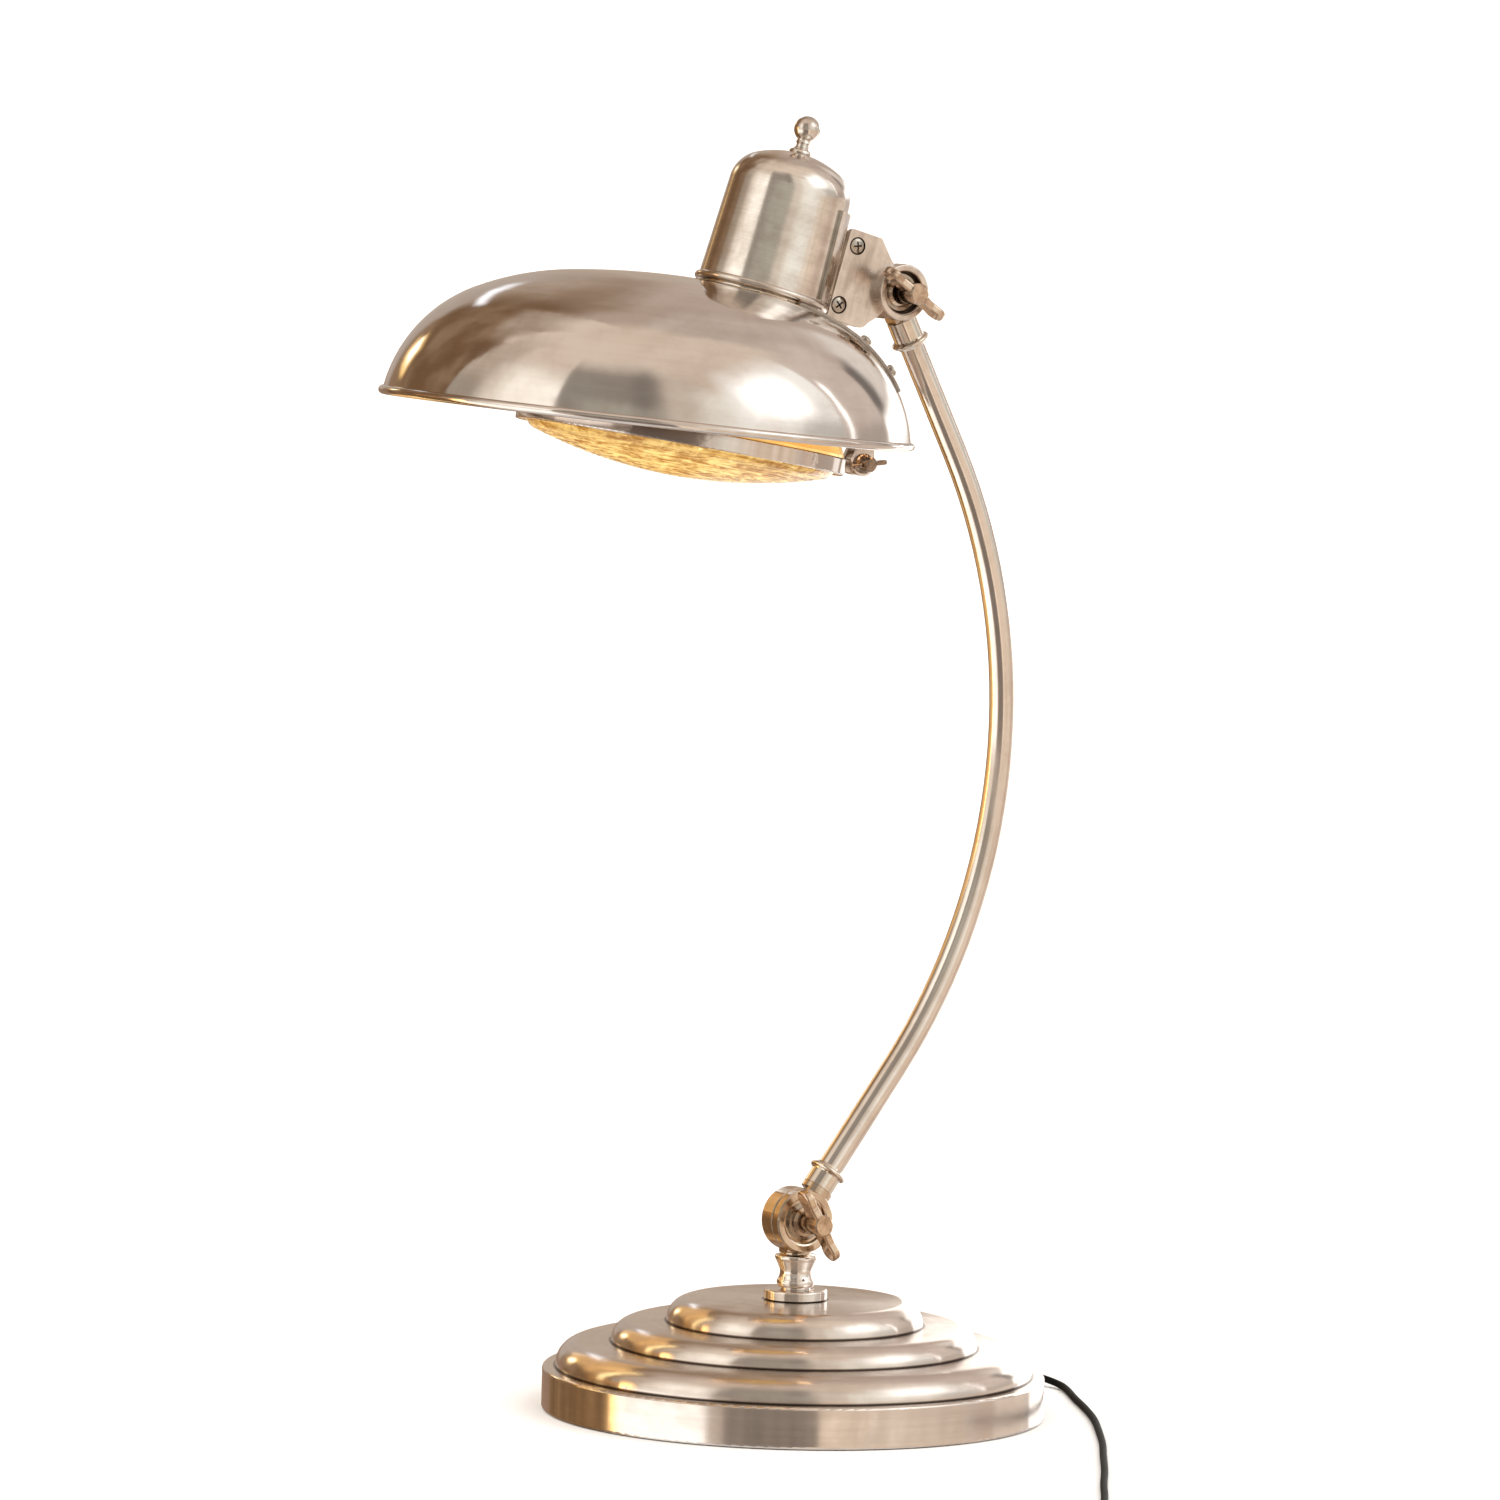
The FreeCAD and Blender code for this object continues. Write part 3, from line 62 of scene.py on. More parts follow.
# ------------------------------------------------------------------ camera
right = Vector((0.4978, 0.8669, 0.0252)).normalized()
up = Vector((-0.0917, 0.0237, 0.9955))
up = (up - right * up.dot(right)).normalized()
back = right.cross(up)
spot = Vector((4.7286, -2.7639, 0.8335))
camera_data = bpy.data.cameras.new("camera")
camera_data.lens = 265.73
camera_data.sensor_width = 36.0
camera_data.clip_start = 0.05
camera_data.clip_end = 300.0
camera = bpy.data.objects.new("camera", camera_data)
scene.collection.objects.link(camera)
camera.matrix_world = Matrix((
    (right.x, up.x, back.x, spot.x),
    (right.y, up.y, back.y, spot.y),
    (right.z, up.z, back.z, spot.z),
    (0, 0, 0, 1),
))
scene.camera = camera
scene.view_settings.view_transform = "Standard"

# -------------------------------------------------------------------- lead
RUN = [
    (-0.03532, 0.14166, 0.00900),
    (-0.03760, 0.15150, 0.00790),
    (-0.03500, 0.16100, 0.00560),
    (-0.02720, 0.16700, 0.00340),
    (-0.01580, 0.16760, 0.00220),
    (-0.00100, 0.16240, 0.00180),
    (0.02200, 0.15200, 0.00180),
    (0.05200, 0.13990, 0.00180),
    (0.08600, 0.12440, 0.00180),
    (0.12000, 0.10600, 0.00180),
    (0.15400, 0.08720, 0.00180),
    (0.19000, 0.06520, 0.00180),
    (0.22700, 0.04330, 0.00180),
    (0.26400, 0.01960, 0.00180),
    (0.30000, -0.00160, 0.00180),
    (0.33300, -0.02400, 0.00180),
    (0.35950, -0.05050, 0.00180),
    (0.37400, -0.07300, 0.00180),
    (0.38060, -0.09380, 0.00260),
    (0.37960, -0.10450, 0.00420),
]
LINK = [
    (0.35260, -0.15127, 0.00420),
    (0.34760, -0.16020, 0.00340),
    (0.34240, -0.16690, 0.00260),
]
TAIL = [
    (0.31920, -0.19860, 0.00500),
    (0.31560, -0.21260, 0.00320),
    (0.31140, -0.22660, 0.00250),
    (0.30800, -0.24140, 0.00400),
    (0.30380, -0.25600, 0.00660),
]
COIL_AT = Vector((0.3489, -0.1957))
RINGS = (0.0275, 0.0238, 0.0201, 0.0164)
LOW, HIGH = 0.0022, 0.00585


def ease(t):
    t = min(1.0, max(0.0, t))
    return t * t * (3 - 2 * t)


def coil_points():
    """Two layers of four turns: in along the table, out again on top of it."""
    step = 22.5
    out = 0.75 + 0.25 * math.cos(math.radians(step))  # how far the curve runs inside its control points
    points = []
    for k in range(int(round((360 * 8 + 40) / step)) + 1):
        turned = 120.0 + k * step
        lap, at = divmod(turned, 360.0)
        lap = int(lap)
        if lap < 4 or (lap == 4 and at < 55):
            # lower layer: each lap ends by moving in one place between 55 and 110 degrees
            ring = lap if at >= 110 else lap - 1 + ease((at - 55) / 55)
            ring = max(0.0, min(3.0, ring))
            z = LOW
        else:
            z = LOW + (HIGH - LOW) * ease((at - 55) / 55) if lap == 4 else HIGH
            # upper layer: each lap begins by moving out between 0 and 55 degrees
            ring = 3.0 if lap == 4 else 3.0 - (lap - 5 + ease(at / 55))
            ring = max(0.0, min(3.0, ring))
        low = int(math.floor(ring))
        high = min(3, low + 1)
        radius = (RINGS[low] + (RINGS[high] - RINGS[low]) * (ring - low)) / out
        a = math.radians(turned)
        points.append((COIL_AT.x + radius * math.cos(a), COIL_AT.y + radius * math.sin(a), z))
    return points


CORD_D = 0.0036
cord_points = RUN + LINK + coil_points() + TAIL
cord_curve = bpy.data.curves.new("mains_lead", "CURVE")
cord_curve.dimensions = "3D"
spline = cord_curve.splines.new("NURBS")
spline.points.add(len(cord_points) - 1)
for point, co in zip(spline.points, cord_points):
    point.co = (*co, 1.0)
    point.radius = CORD_D / 2
spline.order_u = 3
spline.use_endpoint_u = True
spline.resolution_u = 6
cord_curve.bevel_depth = 1.0
cord_curve.bevel_resolution = 5
cord_curve.use_fill_caps = True
lead = bpy.data.objects.new("mains_lead", cord_curve)
scene.collection.objects.link(lead)
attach(lead, "base")
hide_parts("cord_run", "cord_link", "cord_coil", "cord_tail")


def make_mesh(name, verts, faces, smooth=True):
    mesh = bpy.data.meshes.new(name)
    mesh.from_pydata(verts, [], faces)
    mesh.update()
    b = bmesh.new()
    b.from_mesh(mesh)
    bmesh.ops.recalc_face_normals(b, faces=b.faces)
    b.to_mesh(mesh)
    b.free()
    if smooth:
        mesh.polygons.foreach_set("use_smooth", [True] * len(mesh.polygons))
    thing = bpy.data.objects.new(name, mesh)
    scene.collection.objects.link(thing)
    return thing


def lead_tie():
    """A hook-and-loop strap round the coil's turns, with its free end lapped on top."""
    a = math.radians(305.0)
    out = Vector((math.cos(a), math.sin(a), 0))
    along = Vector((-math.sin(a), math.cos(a), 0))
    centre = Vector((COIL_AT.x, COIL_AT.y, 0))
    r0, r1, z0, z1, bend = 0.01435, 0.02955, 0.00042, 0.00775, 0.0018

    def loop(grow):
        pts = []
        corners = [(r1, z0, -90), (r1, z1, 0), (r0, z1, 90), (r0, z0, 180)]
        for r, z, start in corners:
            cr = r - bend if r == r1 else r + bend
            cz = z - bend if z == z1 else z + bend
            for i in range(7):
                t = math.radians(start + 15 * i)
                pts.append((cr + (bend + grow) * math.cos(t), cz + (bend + grow) * math.sin(t)))
        return pts

    thick, half = 0.00034, 0.0042
    inner, outer = loop(0.0), loop(thick)
    verts, faces = [], []
    rows = []
    for w in (-half, -half + 0.0003, half - 0.0003, half):
        edge = abs(w) == half
        ring_in, ring_out = [], []
        for (ri, zi), (ro, zo) in zip(inner, outer):
            for store, r, z in ((ring_in, ri, zi), (ring_out, ro, zo)):
                if edge:
                    r, z = (ri + ro) / 2 + (r - (ri + ro) / 2) * 0.4, (zi + zo) / 2 + (z - (zi + zo) / 2) * 0.4
                p = centre + out * r + along * w + Vector((0, 0, z))
                store.append(len(verts))
                verts.append(p)
        rows.append((ring_in, ring_out))
    n = len(inner)
    for (a_in, a_out), (b_in, b_out) in zip(rows, rows[1:]):
        for i in range(n):
            j = (i + 1) % n
            faces.append((a_in[i], a_in[j], b_in[j], b_in[i]))
            faces.append((a_out[i], b_out[i], b_out[j], a_out[j]))
    for ring_in, ring_out in (rows[0], rows[-1]):
        for i in range(n):
            j = (i + 1) % n
            faces.append((ring_in[i], ring_out[i], ring_out[j], ring_in[j]))
    # The free end, lapped over the top with its corner rounded.
    base = len(verts)
    tab = []
    for r, w in ((0.0170, -0.0042), (0.0242, -0.0042), (0.0262, -0.0022), (0.0262, 0.0022), (0.0242, 0.0042), (0.0170, 0.0042)):
        tab.append((r, w))
    for z in (z1 + thick * 0.9, z1 + thick * 1.9):
        for r, w in tab:
            verts.append(centre + out * r + along * w + Vector((0, 0, z + (0.0002 if r > 0.026 else 0.0))))
    m = len(tab)
    faces.append(tuple(base + i for i in range(m))[::-1])
    faces.append(tuple(base + m + i for i in range(m)))
    for i in range(m):
        j = (i + 1) % m
        faces.append((base + i, base + j, base + m + j, base + m + i))
    return make_mesh("lead_tie", verts, faces)


tie = lead_tie()
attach(tie, "base")


# --------------------------------------------------------------- node help
class Graph:
    def __init__(self, tree):
        self.tree = tree
        tree.nodes.clear()

    def new(self, kind, **settings):
        node = self.tree.nodes.new(kind)
        for key, value in settings.items():
            setattr(node, key, value)
        return node

    def put(self, socket, value):
        if isinstance(value, bpy.types.NodeSocket):
            self.tree.links.new(value, socket)
        elif value is not None:
            if hasattr(socket.default_value, "__len__") and len(socket.default_value) == 4 and len(value) == 3:
                value = (*value, 1.0)
            socket.default_value = value

    def math(self, op, a, b=None, c=None, clamp=False):
        node = self.new("ShaderNodeMath", operation=op, use_clamp=clamp)
        for socket, value in zip(node.inputs, (a, b, c)):
            self.put(socket, value)
        return node.outputs[0]

    def vec(self, op, a, b=None, scale=None):
        node = self.new("ShaderNodeVectorMath", operation=op)
        self.put(node.inputs[0], a)
        if b is not None:
            self.put(node.inputs[1], b)
        if scale is not None:
            self.put(node.inputs["Scale"], scale)
        return node.outputs["Value"] if op in ("DOT_PRODUCT", "LENGTH") else node.outputs[0]

    def join(self, x, y, z):
        node = self.new("ShaderNodeCombineXYZ")
        for socket, value in zip(node.inputs, (x, y, z)):
            self.put(socket, value)
        return node.outputs[0]

    def split(self, v):
        node = self.new("ShaderNodeSeparateXYZ")
        self.put(node.inputs[0], v)
        return node.outputs[0], node.outputs[1], node.outputs[2]

    def noise(self, vector, scale=1.0, detail=2.0, rough=0.5, distortion=0.0, w=None):
        node = self.new("ShaderNodeTexNoise", noise_dimensions="3D" if w is None else "4D")
        self.put(node.inputs["Vector"], vector)
        if w is not None:
            self.put(node.inputs["W"], w)
        node.inputs["Scale"].default_value = scale
        node.inputs["Detail"].default_value = detail
        node.inputs["Roughness"].default_value = rough
        node.inputs["Distortion"].default_value = distortion
        return node.outputs[0]

    def span(self, v, a, b, c=0.0, d=1.0, smooth=True):
        node = self.new("ShaderNodeMapRange", clamp=True, interpolation_type="SMOOTHSTEP" if smooth else "LINEAR")
        self.put(node.inputs["Value"], v)
        for key, value in (("From Min", a), ("From Max", b), ("To Min", c), ("To Max", d)):
            self.put(node.inputs[key], value)
        return node.outputs["Result"]

    def mix(self, fac, a, b, blend="MIX"):
        node = self.new("ShaderNodeMix", data_type="RGBA", blend_type=blend)
        self.put(node.inputs[0], fac)
        self.put(node.inputs[6], a)
        self.put(node.inputs[7], b)
        return node.outputs[2]

    def window(self, v, a, b, sa, sb):
        rise = self.span(v, a - sa, a + sa)
        fall = self.span(v, b - sb, b + sb, 1.0, 0.0)
        return self.math("MULTIPLY", rise, fall)


def rgb(r, g, b):
    return (r, g, b, 1.0)


# ------------------------------------------------------------------- world
def studio():
    world = bpy.data.worlds.new("studio")
    scene.world = world
    world.use_nodes = True
    g = Graph(world.node_tree)
    d = g.vec("NORMALIZE", g.new("ShaderNodeTexCoord").outputs["Generated"])
    x, y, z = g.split(d)
    az = g.math("MULTIPLY", g.math("ARCTAN2", y, x), 57.29578)
    el = g.math("MULTIPLY", g.math("ARCSINE", z), 57.29578)
    wob = g.math("SUBTRACT", g.noise(d, 3.2, 2.0, 0.5), 0.5)
    el_w = g.math("MULTIPLY_ADD", wob, 9.0, el)
    wob2 = g.math("SUBTRACT", g.noise(g.vec("ADD", d, (3.1, 1.7, 5.2)), 2.6, 2.0, 0.5), 0.5)
    az_w = g.math("MULTIPLY_ADD", wob2, 7.0, az)

    high = g.mix(g.window(az, 84, 190, 8, 1), rgb(0.93, 0.785, 0.655), rgb(0.72, 0.61, 0.53))
    high = g.mix(g.window(az, 138, 190, 6, 1), high, rgb(0.60, 0.475, 0.39))
    colour = g.mix(g.span(el, 72, 86), high, rgb(0.90, 0.75, 0.62))

    def patch(base, a0, a1, e0, e1, sa, sb, se0, se1, c, crisp=True):
        mask = g.math("MULTIPLY", g.window(az if crisp else az_w, a0, a1, sa, sb),
                      g.window(el_w, e0, e1, se0, se1))
        return g.mix(mask, base, c if isinstance(c, bpy.types.NodeSocket) else rgb(*c))

    # window front, curtain, wall and doorway, going round from the left of the picture
    colour = patch(colour, -72, -17, 4, 56, 0.5, 6, 6, 8, (0.40, 0.36, 0.31))
    colour = patch(colour, -58, -16, 13, 30, 9, 7, 4, 6, (0.55, 0.52, 0.44))
    colour = patch(colour, -34, -24, 26, 54, 4, 4, 6, 6, (0.33, 0.295, 0.26))
    colour = patch(colour, -18, 4, -4, 52, 6, 6, 6, 9, (0.88, 0.78, 0.67))
    colour = patch(colour, -2, 20, -4, 40, 6, 4, 6, 7, (1.12, 1.08, 0.97))
    colour = patch(colour, 14, 71, -4, 20, 4.0, 0.5, 3, 5, (0.78, 0.76, 0.70))
    colour = patch(colour, 8, 44, -4, 20, 4.0, 6, 3, 5, (1.15, 1.13, 1.04))
    colour = patch(colour, 14, 71, 16, 52, 5.0, 0.5, 4, 8, (1.30, 1.28, 1.22))
    colour = patch(colour, 24, 57, 22, 45, 8, 6, 6, 8, (2.3, 2.3, 2.25))
    colour = patch(colour, 71, 103, -4, 52, 0.5, 5, 3, 9, (0.84, 0.72, 0.64))
    colour = patch(colour, 71, 103, -6, 9, 0.5, 5, 3, 4, (0.60, 0.53, 0.47))
    colour = patch(colour, 73.8, 76.2, 4, 34, 0.3, 0.3, 3, 4, (2.6, 2.6, 2.55))
    colour = patch(colour, 101, 112, 12, 30, 1.5, 1.5, 2.5, 3, (0.24, 0.21, 0.19))
    colour = patch(colour, 104, 136, -4, 10, 2, 2.5, 3, 3, (2.3, 2.3, 2.25))
    colour = patch(colour, 126, 150, 9, 50, 4, 3, 3, 8, (0.62, 0.50, 0.42))
    colour = patch(colour, 136, 153, -4, 14, 2.5, 3, 3, 3, (0.56, 0.48, 0.41))
    colour = patch(colour, 110, 128, 12, 34, 4, 3, 3, 6, (0.98, 0.90, 0.82))
    colour = patch(colour, -132, -110, -4, 60, 0.5, 5, 3, 8, (0.74, 0.62, 0.51))
    colour = patch(colour, -132, -108, 4, 30, 0.5, 6, 3, 6, (0.50, 0.43, 0.35))
    colour = patch(colour, -112, -71, 4, 46, 6, 0.5, 5, 9, (1.12, 1.02, 0.88))
    colour = patch(colour, -100, -71, 12, 40, 8, 0.5, 5, 7, (1.55, 1.48, 1.35))
    # the dim, warm far side of the room
    speckle = g.noise(d, 3.6, 3.0, 0.5)
    dim = g.mix(g.span(speckle, 0.36, 0.66), rgb(0.23, 0.13, 0.068), rgb(0.38, 0.25, 0.155))
    haze = g.mix(g.span(speckle, 0.30, 0.70), rgb(0.40, 0.28, 0.19), rgb(0.62, 0.50, 0.40))
    rough_el = g.math("MULTIPLY_ADD", g.math("SUBTRACT", g.noise(d, 5.0, 4.0, 0.6), 0.5), 15.0, el)
    mask = g.math("MULTIPLY", g.window(az, -190, -138, 1, 5), g.window(el_w, -4, 69, 3, 7))
    colour = g.mix(mask, colour, haze)
    mask = g.math("MULTIPLY", g.window(az, -190, -131, 1, 0.5), g.window(rough_el, -14, 50, 3, 3.0))
    colour = g.mix(mask, colour, dim)
    colour = patch(colour, 149, 190, -4, 62, 3, 1, 3, 8, haze)
    colour = patch(colour, 170, 190, -4, 62, 6, 1, 3, 6, dim)
    colour = patch(colour, 152, 172, -2, 24, 2, 3, 3, 4, (0.54, 0.45, 0.38))
    streak = g.math("SUBTRACT", el, g.math("MULTIPLY_ADD", az, 0.75, -98.0))
    mask = g.math("MULTIPLY", g.window(az, 158, 173, 2.0, 2.5), g.window(streak, -1.6, 1.6, 1.2, 1.2))
    colour = g.mix(mask, colour, rgb(1.75, 1.80, 1.90))
    colour = patch(colour, -190, -172, 9, 19, 1, 2, 1.5, 2, (1.7, 1.10, 0.45))
    colour = patch(colour, -190, -174, 12, 17.5, 1, 1.5, 1.5, 1.5, (3.2, 2.9, 2.2))
    colour = patch(colour, 177, 190, 10, 16, 2, 1, 2, 2, (1.5, 1.0, 0.45))
    colour = patch(colour, -148, -118, -6, 9, 3, 1.5, 3, 3, (0.62, 0.30, 0.10))
    colour = patch(colour, -122, -114, -6, 12, 1.2, 1.2, 3, 2.5, (4.6, 2.6, 0.85))

    # below the horizon: the table and the room beyond it
    low = rgb(0.86, 0.80, 0.74)

    def sector(base, a0, a1, sa, sb, c):
        return g.mix(g.window(az, a0, a1, sa, sb), base, rgb(*c))

    stripes = g.noise(g.join(g.math("MULTIPLY", az, 0.42), 0.0, 0.0), 1.0, 2.0, 0.6)
    bars = g.noise(g.join(g.math("MULTIPLY", az, 0.22), 3.0, 0.0), 1.0, 2.0, 0.6)
    brown = g.mix(g.span(stripes, 0.40, 0.60), rgb(0.10, 0.055, 0.03), rgb(0.42, 0.25, 0.12))
    low = sector(low, -190, -150, 1, 3, (0.22, 0.13, 0.08))
    low = g.mix(g.window(az, -190, -122, 1, 2), low, brown)
    low = sector(low, -123, -119, 0.8, 0.8, (3.0, 1.9, 0.8))
    low = sector(low, -119, -68, 2, 3, (1.75, 1.70, 1.62))
    low = sector(low, -70, -60, 2, 2, (0.74, 0.62, 0.52))
    grey = g.mix(g.span(stripes, 0.35, 0.65), rgb(0.19, 0.155, 0.135), rgb(0.40, 0.335, 0.285))
    low = g.mix(g.window(az, -62, -18, 1.2, 0.4), low, grey)
    tan = g.mix(g.span(bars, 0.35, 0.65), rgb(0.86, 0.68, 0.52), rgb(1.10, 0.92, 0.76))
    low = g.mix(g.window(az, -18, 60, 0.4, 8), low, tan)
    low = sector(low, -18, -8, 0.4, 3, (1.22, 1.00, 0.80))
    low = sector(low, 60, 76, 6, 1, (0.76, 0.60, 0.49))
    low = sector(low, 76, 106, 1, 4, (0.92, 0.78, 0.66))
    low = sector(low, 106, 152, 4, 2, (0.72, 0.63, 0.57))
    low = sector(low, 152, 190, 2, 1, (0.34, 0.22, 0.15))
    low = g.mix(g.span(el, -62, -40, 1.0, 0.0), low, rgb(0.92, 0.89, 0.85))
    colour = g.mix(g.span(el, -2.5, 1.5), low, colour)
    light = g.new("ShaderNodeBackground")
    g.put(light.inputs["Color"], colour)
    light.inputs["Strength"].default_value = 1.0
    g.tree.links.new(light.outputs[0], g.new("ShaderNodeOutputWorld").inputs["Surface"])


studio()

fill_data = bpy.data.lights.new("overhead", "SUN")
fill_data.energy = 2.3
fill_data.angle = math.radians(110)
fill_data.color = (0.93, 0.97, 1.0)
fill = bpy.data.objects.new("overhead", fill_data)
scene.collection.objects.link(fill)
fill.rotation_euler = (math.radians(8), math.radians(14), 0)
fill.visible_glossy = False



def card(name, azimuth, distance, z, width, height, turn, colour):
    """A flat reflector near the base: its shine is seen in the metal, and it lights nothing else."""
    data = bpy.data.lights.new(name, "AREA")
    data.shape = "RECTANGLE"
    data.size, data.size_y = width, height
    peak = max(colour)
    data.color = [c / peak for c in colour]
    data.energy = peak * width * height * math.pi
    thing = bpy.data.objects.new(name, data)
    scene.collection.objects.link(thing)
    a = math.radians(azimuth)
    thing.location = (distance * math.cos(a), distance * math.sin(a), z)
    aim = Vector((0, 0, 0.04 + turn)) - thing.location
    thing.rotation_euler = aim.to_track_quat("-Z", "Y").to_euler()
    thing.visible_camera = False
    thing.visible_diffuse = False
    thing.visible_transmission = False
    thing.visible_shadow = False
    return thing


card("card_gold_back", -160, 0.44, 0.29, 0.34, 0.27, 0.0, (0.60, 0.37, 0.14))
card("card_gold_side", -128, 0.46, 0.24, 0.045, 0.36, 0.0, (2.1, 1.65, 0.80))
card("card_gold_left", -140, 0.47, 0.27, 0.13, 0.30, 0.0, (0.45, 0.26, 0.09))
card("card_white_right", 123, 0.85, 0.12, 0.68, 0.62, 0.0, (1.15, 1.12, 1.08))

floor = make_mesh("floor", [(-140, -140, 0), (140, -140, 0), (140, 140, 0), (-140, 140, 0)], [(0, 1, 2, 3)], smooth=False)
floor.visible_glossy = False
floor_mat = bpy.data.materials.new("floor_paper")
floor_mat.use_nodes = True
g = Graph(floor_mat.node_tree)
p = g.new("ShaderNodeTexCoord").outputs["Object"]
shader = g.new("ShaderNodeBsdfPrincipled")
g.put(shader.inputs["Base Color"], g.mix(g.noise(p, 900.0, 2.0), rgb(0.90, 0.90, 0.90), rgb(0.93, 0.93, 0.93)))
shader.inputs["Roughness"].default_value = 0.9
shader.inputs["Specular IOR Level"].default_value = 0.0
g.tree.links.new(shader.outputs[0], g.new("ShaderNodeOutputMaterial").inputs["Surface"])
floor.data.materials.append(floor_mat)


# --------------------------------------------------------------- materials
def tilt(angle):
    return Matrix.Rotation(math.radians(angle), 3, "X")


def axis_frame(z_axis):
    """A rotation whose local Z is z_axis."""
    z_axis = Vector(z_axis).normalized()
    side = Vector((1, 0, 0)) if abs(z_axis.x) < 0.9 else Vector((0, 1, 0))
    x_axis = (side - z_axis * side.dot(z_axis)).normalized()
    y_axis = z_axis.cross(x_axis)
    return Matrix((x_axis, y_axis, z_axis)).transposed()


LEAN_LOW, LEAN_TOP = math.radians(36.0), math.radians(26.5)
PIVOT = Vector((0, 0, 0.097))
UPPER = Vector((0, 0.0396303, 0.5601532))
HINGE = Vector((0, 0.0234, 0.4748))
LENS_AT, LENS_TURN = Vector((0, -0.0774, 0.4887)), tilt(-10.0)
FRAMES = {
    "upright": (Vector((0, 0, 0)), Matrix.Identity(3)),
    "cap": (Vector((0, -0.0342, 0.560)), tilt(-16.5)),
    "shade": (Vector((0, -0.0973, 0.498)), tilt(-5.7)),
    "lens": (LENS_AT, LENS_TURN),
    "pivot": (PIVOT, axis_frame((1, 0, 0))),
    "upper": (UPPER, axis_frame((1, 0, 0))),
    "hinge": (HINGE, axis_frame((1, 0, 0))),
    "arm_low": (PIVOT, axis_frame((0, math.sin(LEAN_LOW), math.cos(LEAN_LOW)))),
    "arm_top": (UPPER, axis_frame((0, math.sin(LEAN_TOP), -math.cos(LEAN_TOP)))),
}
BEND_R = 0.2974
bow = PIVOT + Vector((0, math.sin(LEAN_LOW), math.cos(LEAN_LOW))) * 0.0925
BOW_CENTRE = bow + Vector((0, -math.cos(LEAN_LOW), math.sin(LEAN_LOW))) * BEND_R


def euler(rotation):
    return rotation.to_euler("XYZ")


class Surface(Graph):
    """One material: the coordinates of its piece's own frame, and a Principled shader."""

    def __init__(self, name, place="upright"):
        self.material = bpy.data.materials.new(name)
        self.material.use_nodes = True
        super().__init__(self.material.node_tree)
        origin, turn = FRAMES[place]
        self.turn = turn
        mapping = self.new("ShaderNodeMapping", vector_type="POINT")
        self.put(mapping.inputs["Vector"], self.new("ShaderNodeTexCoord").outputs["Object"])
        inverse = turn.transposed()
        mapping.inputs["Rotation"].default_value = euler(inverse)
        mapping.inputs["Location"].default_value = -(inverse @ origin)
        self.p = mapping.outputs[0]
        self.x, self.y, self.z = self.split(self.p)
        self.flat = self.join(self.x, self.y, 0.0)
        self.r = self.vec("LENGTH", self.flat)
        self.round = self.vec("NORMALIZE", self.flat)
        self.shader = self.new("ShaderNodeBsdfPrincipled")
        self.tree.links.new(self.shader.outputs[0], self.new("ShaderNodeOutputMaterial").inputs["Surface"])

    def set(self, key, value):
        self.put(self.shader.inputs[key], value)

    def rings(self, per_metre, detail=2.0, slow=1.4, seed=0.0):
        """Noise drawn out round the piece's axis, as turning and polishing leave it."""
        cx, cy, _ = self.split(self.round)
        vector = self.join(self.math("MULTIPLY", cx, slow), self.math("MULTIPLY", cy, slow),
                           self.math("MULTIPLY_ADD", self.r, per_metre, seed))
        return self.noise(vector, 1.0, detail, 0.55, w=self.math("MULTIPLY", self.z, per_metre))

    def bump(self, height, distance=1.0):
        node = self.new("ShaderNodeBump")
        node.inputs["Strength"].default_value = 1.0
        node.inputs["Distance"].default_value = distance
        self.put(node.inputs["Height"], height)
        self.put(self.shader.inputs["Normal"], node.outputs[0])

    def round_tangent(self):
        turned = self.join(self.math("MULTIPLY", self.y, -1.0), self.x, 0.0)
        mapping = self.new("ShaderNodeMapping", vector_type="VECTOR")
        mapping.inputs["Rotation"].default_value = euler(self.turn)
        self.put(mapping.inputs["Vector"], turned)
        node = self.new("ShaderNodeVectorTransform", vector_type="VECTOR", convert_from="OBJECT", convert_to="WORLD")
        self.put(node.inputs[0], mapping.outputs[0])
        self.put(self.shader.inputs["Tangent"], node.outputs[0])


